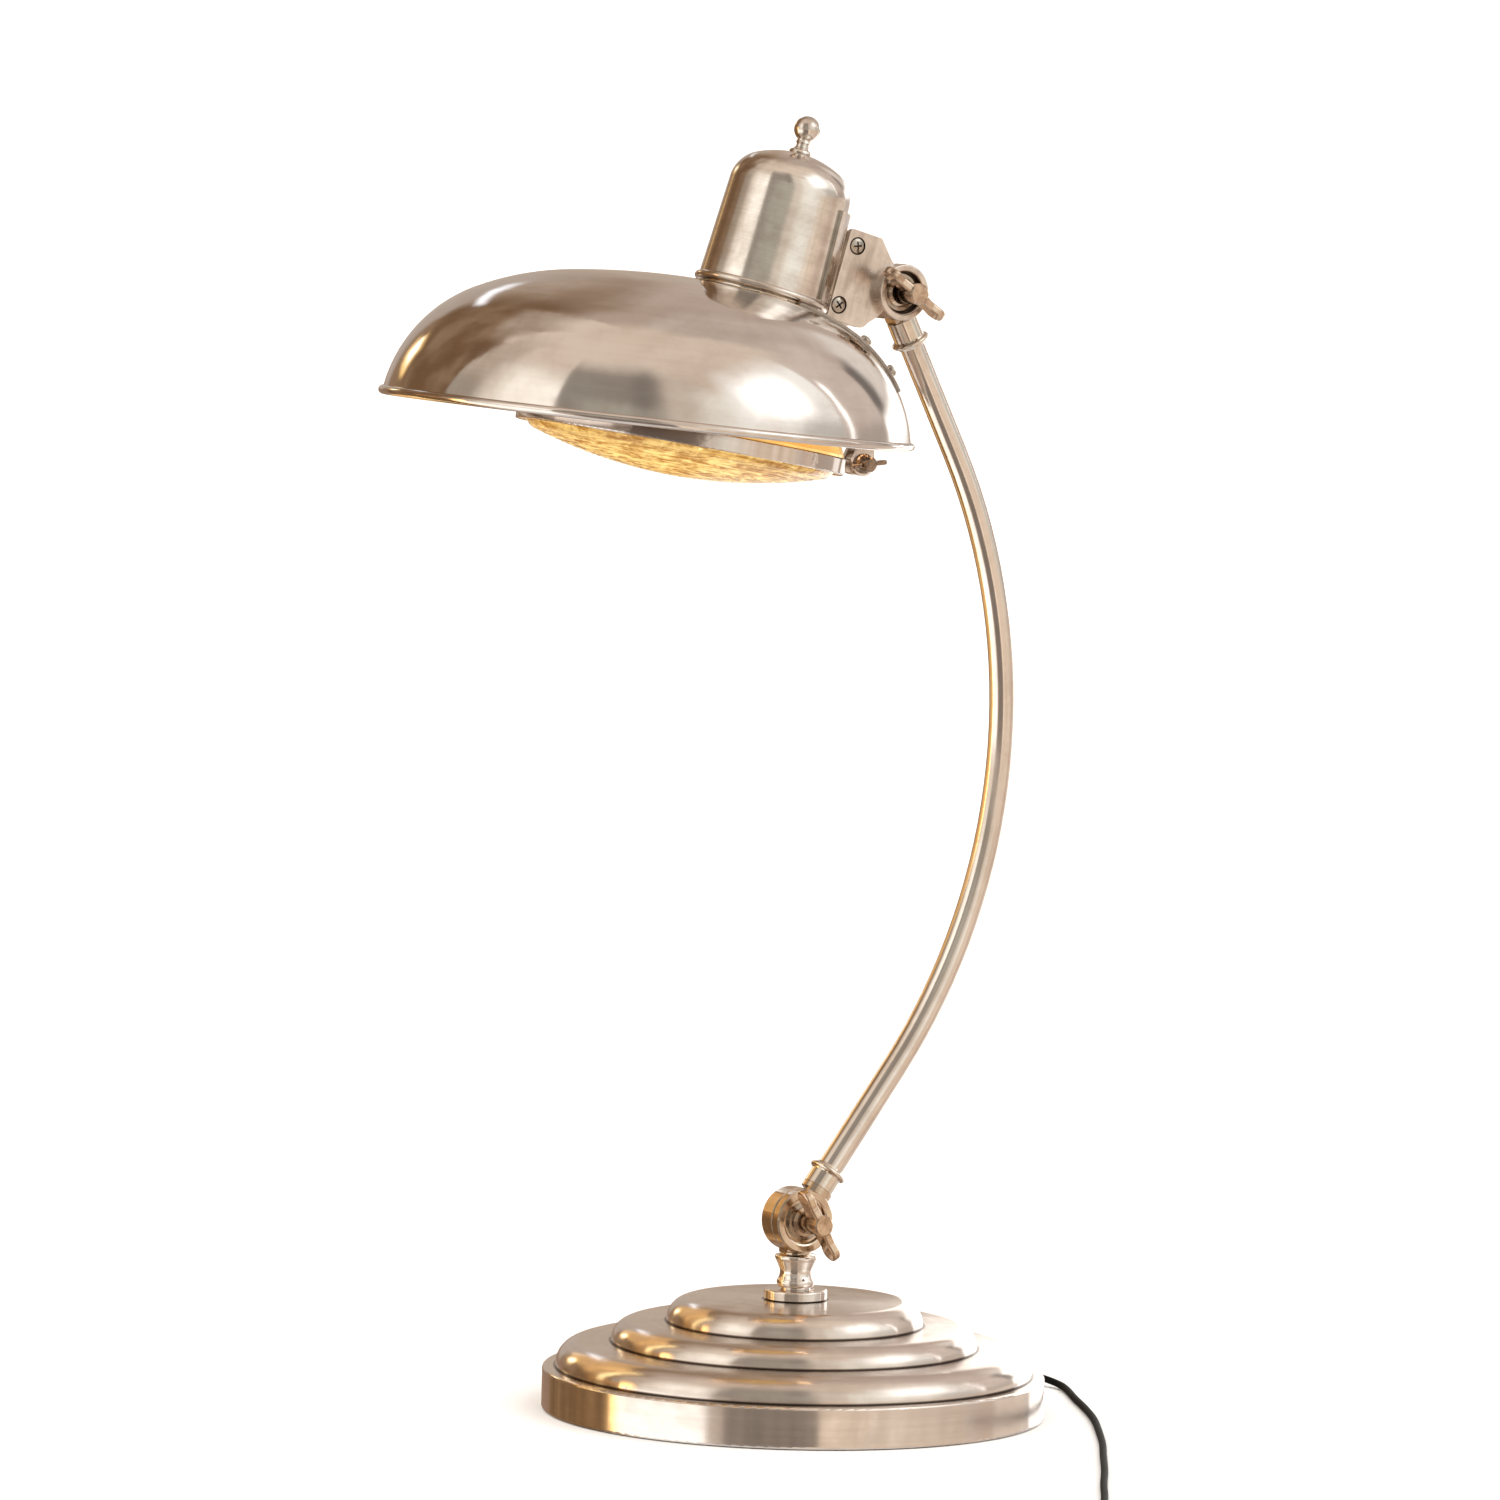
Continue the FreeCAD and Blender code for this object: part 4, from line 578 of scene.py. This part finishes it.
def plated(name, place="upright", bright=(0.66, 0.60, 0.53), dull=(0.36, 0.27, 0.20), amount=0.45, rough=(0.12, 0.26), fine=1300.0,
           broad=170.0, cloud=15.0, ripple=3.5e-5, ripple_scale=42.0, aniso=0.5, seed=0.0, along=None, painted_shade=None,
           lines=0.03, scratch=2.0e-7, glow=None, painted_reflection=None):
    s = Surface(name, place)
    if along is None:
        fine_noise = s.rings(fine, 2.0, seed=seed)
        broad_noise = s.rings(broad, 3.0, 1.1, seed=seed + 7.0)
    else:
        fine_noise = s.noise(along(s, fine), 1.0, 2.0, 0.55)
        broad_noise = s.noise(along(s, broad), 1.0, 3.0, 0.55)
    p = s.vec("ADD", s.p, (seed, seed * 0.7, seed * 0.3))
    clouds = s.noise(p, cloud, 4.0, 0.58, 0.8)
    smudge = s.noise(p, cloud * 5.5, 3.0, 0.6, 0.3)
    mixed = s.math("ADD", s.math("MULTIPLY", clouds, 0.55),
                   s.math("ADD", s.math("MULTIPLY", broad_noise, 0.28), s.math("MULTIPLY", smudge, 0.17)))
    tarnish_and_painted_shade = s.math("MULTIPLY", s.span(mixed, 0.40, 0.64), amount)
    # Painted reflection: darker stretches standing in for dark things mirrored in the metal.
    if painted_reflection is not None:
        tarnish_and_painted_shade = s.math("MAXIMUM", tarnish_and_painted_shade, painted_reflection(s))
    # Painted shade: the mask darkens corners, recesses and counterbores, first towards the dull colour, then towards
    # near-black below.
    if painted_shade is not None:
        painted_shade_mask = painted_shade(s)
        tarnish_and_painted_shade = s.math("MAXIMUM", tarnish_and_painted_shade, painted_shade_mask)
    colour = s.mix(tarnish_and_painted_shade, rgb(*bright), rgb(*dull))
    if painted_shade is not None:
        colour = s.mix(painted_shade_mask, colour, rgb(0.045, 0.030, 0.022))
    shade = s.span(fine_noise, 0.25, 0.75, 1.0 - lines, 1.0 + lines, smooth=False)
    colour = s.mix(1.0, colour, s.join(shade, shade, shade), "MULTIPLY")
    s.set("Base Color", colour)
    s.set("Metallic", 1.0)
    r = s.math("MULTIPLY_ADD", s.math("MULTIPLY", smudge, clouds), 2.2 * (rough[1] - rough[0]), rough[0] - 0.1 * (rough[1] - rough[0]))
    r = s.math("MULTIPLY_ADD", tarnish_and_painted_shade, 0.08, r)
    s.set("Roughness", s.math("MAXIMUM", r, 0.05))
    if aniso and along is None:
        s.shader.inputs["Anisotropic"].default_value = aniso
        s.shader.inputs["Anisotropic Rotation"].default_value = 0.25
        s.round_tangent()
    waves = s.noise(p, ripple_scale, 1.0, 0.4)
    s.bump(s.math("MULTIPLY_ADD", fine_noise, scratch, s.math("MULTIPLY", waves, ripple)))
    # Painted glow: emission that stands in for lamp light falling on the part.
    if glow is not None:
        s.set("Emission Color", s.mix(s.span(clouds, 0.38, 0.62), rgb(*glow[0]), rgb(*glow[1])))
        s.shader.inputs["Emission Strength"].default_value = glow[2]
    return s.material


def along_arm(s, per_metre):
    """Lines that follow the bowed tube."""
    dy = s.math("SUBTRACT", s.y, BOW_CENTRE.y)
    dz = s.math("SUBTRACT", s.z, BOW_CENTRE.z)
    across = s.math("SQRT", s.math("ADD", s.math("MULTIPLY", dy, dy), s.math("MULTIPLY", dz, dz)))
    travel = s.math("ARCTAN2", dz, dy)
    return s.join(s.math("MULTIPLY", s.x, per_metre), s.math("MULTIPLY", across, per_metre), s.math("MULTIPLY", travel, 9.0))


def along_plate(s, per_metre):
    """Filing marks that run up and down the flat plates."""
    x, y, z = s.x, s.y, s.z
    return s.join(s.math("MULTIPLY", x, per_metre), s.math("MULTIPLY", y, per_metre), s.math("MULTIPLY", z, 45.0))


def plain(name, colour, other, rough, scale, bump=0.0, metallic=0.0, place="upright", level=0.5, detail=3.0):
    s = Surface(name, place)
    n = s.noise(s.p, scale, detail, 0.55)
    s.set("Base Color", s.mix(s.span(n, 0.3, 0.7), rgb(*colour), rgb(*other)))
    s.set("Roughness", s.span(n, 0.3, 0.7, rough[0], rough[1]))
    s.shader.inputs["Metallic"].default_value = metallic
    s.shader.inputs["Specular IOR Level"].default_value = level
    if bump:
        s.bump(s.math("MULTIPLY", s.noise(s.p, scale * 2.2, 2.0, 0.6), bump))
    return s.material


def base_corner_shade(s):
    """Darker patina plus painted shade in the corners between the steps: a near-black line in each groove."""
    marks = None
    for r, z, w in BASE_CORNERS:
        away = s.vec("LENGTH", s.join(s.math("SUBTRACT", s.r, r), s.math("SUBTRACT", s.z, z), 0.0))
        m = s.span(away, 0.0004, w, 0.9, 0.0)
        marks = m if marks is None else s.math("MAXIMUM", marks, m)
    return marks


BASE_CORNERS = ((0.01585, 0.0569, 0.0014), (0.0642, 0.0451, 0.0015), (0.0916, 0.0343, 0.0015), (0.1190, 0.0212, 0.0015))

def screw_recess_shade(s):
    """Painted shade inside the cross recesses of the two bracket screws, and a darker painted ring round each head."""
    across = None
    for v, h in ((0.0410, 0.0361), (0.0398, 0.0054)):
        dist = s.vec("LENGTH", s.vec("SUBTRACT", s.join(0.0, s.y, s.z), (0.0, v, h)))
        across = dist if across is None else s.math("MINIMUM", across, dist)
    crown = s.math("SUBTRACT", 0.00885, s.math("MULTIPLY", s.math("MULTIPLY", across, across), 52.6))
    painted_shade_mask = s.span(s.math("SUBTRACT", crown, s.x), 0.00012, 0.0004)
    near = s.span(across, 0.0026, 0.0030, 1.0, 0.0)
    edge = s.window(across, 0.0036, 0.0046, 0.00015, 0.0001)
    return s.math("MAXIMUM", s.math("MULTIPLY", painted_shade_mask, near), s.math("MULTIPLY", edge, 0.75))


def boss_painted_shade(s):
    """Painted shade in the dished boss round the upper pivot and in the screws' counterbores."""
    inverse = FRAMES["cap"][1].transposed()
    at = inverse @ (UPPER - FRAMES["cap"][0])
    flat = s.join(0.0, s.y, s.z)
    dist = s.vec("LENGTH", s.vec("SUBTRACT", flat, (0.0, at.y, at.z)))
    dish = s.math("MULTIPLY", s.span(dist, 0.0104, 0.0108, 1.0, 0.0), s.span(s.x, 0.0133, 0.0139, 1.0, 0.0))
    marks = s.math("MULTIPLY", dish, 0.97)
    for v, h in ((0.0410, 0.0361), (0.0398, 0.0054)):
        near = s.vec("LENGTH", s.vec("SUBTRACT", flat, (0.0, v, h)))
        hole = s.math("MULTIPLY", s.span(near, 0.0045, 0.0047, 1.0, 0.0), s.span(s.x, 0.0078, 0.0081, 1.0, 0.0))
        marks = s.math("MAXIMUM", marks, s.math("MULTIPLY", hole, 0.97))
    return marks


def ring_painted_reflections(s):
    """Two darker stretches of the door's ring: painted reflections of dark surroundings, fixed to the ring."""
    around = s.math("MULTIPLY", s.math("ARCTAN2", s.y, s.x), 57.29578)
    ragged = s.math("MULTIPLY_ADD", s.noise(s.p, 260.0, 2.0, 0.6), 9.0, around)
    first = s.math("MULTIPLY", s.window(ragged, -44, -16, 1.5, 4), 0.85)
    haze = s.math("MULTIPLY", s.window(ragged, -20, 24, 5, 4), 0.22)
    second = s.math("MULTIPLY", s.window(ragged, 28, 60, 2, 3), 0.62)
    return s.math("MAXIMUM", first, s.math("MAXIMUM", haze, second))


SILVER, SHADOW = (0.76, 0.70, 0.655), (0.36, 0.275, 0.222)
MATERIALS = {
    "base_plate_metal": plated("base_plate_metal", "upright", SILVER, SHADOW, amount=0.34, rough=(0.13, 0.24), broad=210.0, ripple=1.2e-5, aniso=0.92,
                               painted_shade=base_corner_shade),
    "stem_metal": plated("stem_metal", "upright", SILVER, SHADOW, amount=0.25, rough=(0.07, 0.15), ripple=6e-6, seed=3.0),
    "joint_metal": plated("joint_metal", "pivot", (0.70, 0.59, 0.47), (0.38, 0.25, 0.155), amount=0.50, rough=(0.08, 0.18), ripple=6e-6, seed=5.0,
                          cloud=45.0),
    "tube_metal": plated("tube_metal", "upright", (0.75, 0.69, 0.64), (0.50, 0.41, 0.345), amount=0.50, rough=(0.11, 0.20), cloud=22.0, fine=1500.0,
                         broad=340.0, ripple=4e-6, aniso=0.0, seed=2.0, along=along_arm),
    "ferrule_metal": plated("ferrule_metal", "arm_low", (0.72, 0.65, 0.57), SHADOW, amount=0.30, rough=(0.07, 0.15), ripple=6e-6, seed=6.0),
    "nut_metal": plated("nut_metal", "pivot", (0.64, 0.49, 0.36), (0.28, 0.16, 0.09), amount=0.75, rough=(0.10, 0.20), cloud=60.0, ripple=2.5e-5,
                        ripple_scale=160.0, aniso=0.0, seed=8.0),
    # The near-black dull colour serves both the painted shade in the screws' recesses and a light tarnish.
    "screw_metal": plated("screw_metal", "cap", (0.44, 0.39, 0.34), (0.012, 0.008, 0.006), amount=0.14, rough=(0.10, 0.18), cloud=90.0, ripple=1e-5,
                          ripple_scale=200.0, aniso=0.0, seed=9.0, painted_shade=screw_recess_shade),
    "dark_metal": plated("dark_metal", "hinge", (0.34, 0.25, 0.19), (0.06, 0.038, 0.028), amount=0.85, rough=(0.14, 0.26), cloud=90.0, ripple=2e-5,
                         ripple_scale=200.0, aniso=0.0, seed=10.0),
    "bracket_metal": plated("bracket_metal", "cap", (0.72, 0.645, 0.59), (0.33, 0.255, 0.205), amount=0.62, rough=(0.19, 0.30), cloud=34.0, fine=1500.0,
                            broad=260.0, ripple=1.6e-5, aniso=0.0, seed=11.0, along=along_plate, painted_shade=boss_painted_shade),
    "cap_metal": plated("cap_metal", "cap", (0.75, 0.70, 0.655), (0.34, 0.262, 0.205), amount=0.50, rough=(0.11, 0.20), fine=1500.0, broad=120.0, cloud=24.0,
                        ripple=3.0e-5, ripple_scale=40.0, aniso=0.2, seed=12.0, lines=0.05, scratch=5.0e-7),
    "shade_metal": plated("shade_metal", "shade", (0.70, 0.655, 0.62), (0.42, 0.338, 0.29), amount=0.50, rough=(0.055, 0.13), fine=1300.0, broad=80.0,
                          cloud=13.0, ripple=4.5e-5, ripple_scale=24.0, seed=13.0, lines=0.02, scratch=1.2e-7),
    "ring_metal": plated("ring_metal", "lens", (0.78, 0.73, 0.69), (0.20, 0.15, 0.125), amount=0.16, painted_reflection=ring_painted_reflections, rough=(0.05, 0.10), ripple=6e-6, seed=14.0),
    # The collar's emission is painted glow, standing in for the bulb's light on it.
    "gilt": plated("gilt", "lens", (0.98, 0.72, 0.32), (0.70, 0.40, 0.12), amount=0.6, rough=(0.14, 0.26), ripple=2e-5, seed=15.0,
                   glow=((0.70, 0.34, 0.06), (1.0, 0.66, 0.22), 0.55)),
    "hidden_steel": plain("hidden_steel", (0.46, 0.45, 0.44), (0.36, 0.35, 0.34), (0.30, 0.42), 240.0, 6e-6, 1.0),
    "holder_ceramic": plain("holder_ceramic", (0.82, 0.80, 0.74), (0.76, 0.73, 0.66), (0.22, 0.34), 120.0, 5e-6, place="cap"),
    "bulb_metal": plain("bulb_metal", (0.72, 0.71, 0.69), (0.58, 0.56, 0.53), (0.22, 0.36), 300.0, 8e-6, 1.0, place="cap"),
    "cast_weight": plain("cast_weight", (0.10, 0.10, 0.10), (0.045, 0.043, 0.042), (0.55, 0.80), 420.0, 9e-5),
    "seal": plain("seal", (0.022, 0.022, 0.022), (0.035, 0.034, 0.033), (0.55, 0.72), 500.0, 1e-5, place="lens"),
    "felt": plain("felt", (0.020, 0.032, 0.022), (0.055, 0.075, 0.055), (0.90, 1.0), 2600.0, 2.5e-4, level=0.1, detail=5.0),
    "cord_rubber": plain("cord_rubber", (0.004, 0.004, 0.004), (0.009, 0.009, 0.009), (0.50, 0.62), 900.0, 1.2e-5, level=0.05),
    "black_plastic": plain("black_plastic", (0.014, 0.014, 0.015), (0.024, 0.023, 0.023), (0.30, 0.44), 1400.0, 1.4e-5),
    "rocker_plastic": plain("rocker_plastic", (0.020, 0.020, 0.021), (0.032, 0.031, 0.031), (0.24, 0.34), 1400.0, 6e-6),
}
EXTRA = {
    "upper_ferrule": plated("upper_ferrule_metal", "arm_top", (0.72, 0.65, 0.57), SHADOW, amount=0.30, rough=(0.07, 0.15), ripple=6e-6, seed=16.0),
    "upper_eye": plated("upper_eye_metal", "upper", (0.64, 0.55, 0.46), (0.26, 0.18, 0.12), amount=0.7, rough=(0.12, 0.24), ripple=1e-5, seed=17.0),
    "upper_wing_nut": plated("upper_nut_metal", "upper", (0.66, 0.53, 0.42), (0.27, 0.165, 0.10), amount=0.75, rough=(0.09, 0.18), cloud=60.0,
                             ripple=2.5e-5, ripple_scale=160.0, aniso=0.0, seed=18.0),
}


def amber():
    """Golden pressed glass streaked along its fine rings; its emission is a painted glow standing in for the bulb's
    light through it, with painted glints.
    """
    s = Surface("amber_glass", "lens")
    cx, cy, _ = s.split(s.round)
    around = s.join(s.math("MULTIPLY", cx, 3.2), s.math("MULTIPLY", cy, 3.2), s.math("MULTIPLY", s.r, 330.0))
    streak = s.noise(around, 1.0, 4.0, 0.62, 0.5)
    cells = s.noise(s.p, 150.0, 3.0, 0.62, 0.8)
    spark = s.noise(s.p, 420.0, 2.0, 0.5, 0.4)
    glow = s.math("MULTIPLY_ADD", streak, 0.62, s.math("MULTIPLY", cells, 0.38))
    tone = s.span(glow, 0.40, 0.60)
    # The painted glow fades towards the glass's outer edge.
    rim = s.span(s.r, 0.060, 0.0755, 1.0, 0.45)
    s.set("Base Color", s.mix(tone, rgb(0.34, 0.15, 0.015), rgb(0.74, 0.50, 0.15)))
    # Painted glow: emission standing in for the bulb's light coming through the glass.
    lit = s.mix(tone, rgb(0.28, 0.115, 0.010), rgb(1.12, 0.86, 0.34))
    lit = s.mix(1.0, lit, s.join(rim, rim, rim), "MULTIPLY")
    # Painted glints: bright specks where the streaks are strong.
    painted_glints = s.math("MULTIPLY", s.span(spark, 0.60, 0.72), s.span(glow, 0.48, 0.62))
    s.set("Emission Color", s.mix(painted_glints, lit, rgb(1.6, 1.35, 0.80)))
    s.shader.inputs["Emission Strength"].default_value = 0.46
    s.set("Roughness", s.span(cells, 0.3, 0.7, 0.06, 0.16))
    s.shader.inputs["Transmission Weight"].default_value = 0.22
    s.shader.inputs["IOR"].default_value = 1.48
    s.bump(s.math("MULTIPLY", s.noise(s.p, 380.0, 2.0, 0.5), 5.0e-5))
    return s.material


def lit_glass():
    s = Surface("bulb_glass", "cap")
    n = s.noise(s.p, 60.0, 2.0, 0.5)
    s.set("Base Color", s.mix(n, rgb(0.95, 0.90, 0.80), rgb(1.0, 0.96, 0.88)))
    s.set("Roughness", s.span(n, 0.3, 0.7, 0.30, 0.42))
    s.set("Emission Color", s.mix(n, rgb(1.0, 0.72, 0.40), rgb(1.0, 0.80, 0.52)))
    s.shader.inputs["Emission Strength"].default_value = 9.0
    return s.material


MATERIALS["amber_glass"] = amber()
MATERIALS["bulb_glass"] = lit_glass()

for part in RECORD["subparts"]:
    thing = NODES[part["node"]]
    material = EXTRA.get(part["node"], MATERIALS[part["material_slot"]])
    if not thing.material_slots:
        thing.data.materials.append(None)
    for slot in thing.material_slots:
        slot.link = "OBJECT"
        slot.material = material
lead.data.materials.append(MATERIALS["cord_rubber"])
tie.data.materials.append(MATERIALS["cord_rubber"])


# ------------------------------------------------------------- the lens
def arc(r0, z0, r1, z1, radius, bulge, steps):
    """Points on the arc from (r0, z0) to (r1, z1); bulge is +1 where it bows away from the lens's middle."""
    dr, dz = r1 - r0, z1 - z0
    half = math.hypot(dr, dz) / 2
    drop = math.sqrt(max(0.0, radius * radius - half * half))
    nr, nz = dz / (2 * half), -dr / (2 * half)
    cr, cz = (r0 + r1) / 2 - bulge * nr * drop, (z0 + z1) / 2 - bulge * nz * drop
    a0, a1 = math.atan2(z0 - cz, r0 - cr), math.atan2(z1 - cz, r1 - cr)
    while a1 - a0 > math.pi:
        a1 -= 2 * math.pi
    while a1 - a0 < -math.pi:
        a1 += 2 * math.pi
    return [(cr + radius * math.cos(a0 + (a1 - a0) * k / steps), cz + radius * math.sin(a0 + (a1 - a0) * k / steps))
            for k in range(steps + 1)]


def lens_glass():
    """Pressed glass: fine rings and a slightly hammered skin outside, smooth inside, a plain flange in the door's ring."""
    turns = 216
    low, painted_shade_mask = -0.0195, -0.0155
    out_r = (0.071 ** 2 + (-0.0088 - low) ** 2) / (2 * (-0.0088 - low))
    in_r = (0.0685 ** 2 + (-0.0054 - painted_shade_mask) ** 2) / (2 * (-0.0054 - painted_shade_mask))
    face = arc(0.0, low, 0.071, -0.0088, out_r, 1, 150)
    face += arc(0.071, -0.0088, 0.0769, -0.0040, 0.0086, 1, 14)[1:]
    flange = [(0.0770, -0.0033), (0.0772, -0.0033), (0.0808, -0.0033), (0.08105, -0.0031), (0.08105, -0.0007), (0.0808, -0.0005), (0.0744, -0.0005)]
    bowl = arc(0.0685, -0.0054, 0.0, painted_shade_mask, in_r, -1, 26)

    def outside(r, z, a):
        ring = 0.5 + 0.5 * math.cos(2 * math.pi * r / 0.0031)
        x, y = r * math.cos(a), r * math.sin(a)
        dent = 0.5 + 0.5 * math.sin(x * 520 + 1.6 * math.sin(y * 210)) * math.sin(y * 470 + 1.4 * math.sin(x * 260))
        fade = ease((0.0745 - r) / 0.004) * ease(r / 0.003)
        return z + fade * (0.00022 * ring + 0.00014 * dent)

    verts, faces = [], []

    def add(r, z, a):
        verts.append(LENS_AT + LENS_TURN @ Vector((r * math.cos(a), r * math.sin(a), z)))
        return len(verts) - 1

    rows = []
    for k, (r, z) in enumerate(face + flange + bowl):
        if r < 1e-7:
            rows.append([add(0.0, z, 0.0)])
        else:
            rows.append([add(r, outside(r, z, 2 * math.pi * t / turns) if k < len(face) else z, 2 * math.pi * t / turns) for t in range(turns)])
    for a, b in zip(rows, rows[1:]):
        for t in range(turns):
            u = (t + 1) % turns
            if len(a) == 1:
                faces.append((a[0], b[t], b[u]))
            elif len(b) == 1:
                faces.append((a[t], b[0], a[u]))
            else:
                faces.append((a[t], b[t], b[u], a[u]))
    return make_mesh("lens_pressed_glass", verts, faces)


lens = lens_glass()
lens.data.materials.append(MATERIALS["amber_glass"])
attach(lens, "lens")
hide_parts("lens_glass")

bpy.context.view_layer.update()
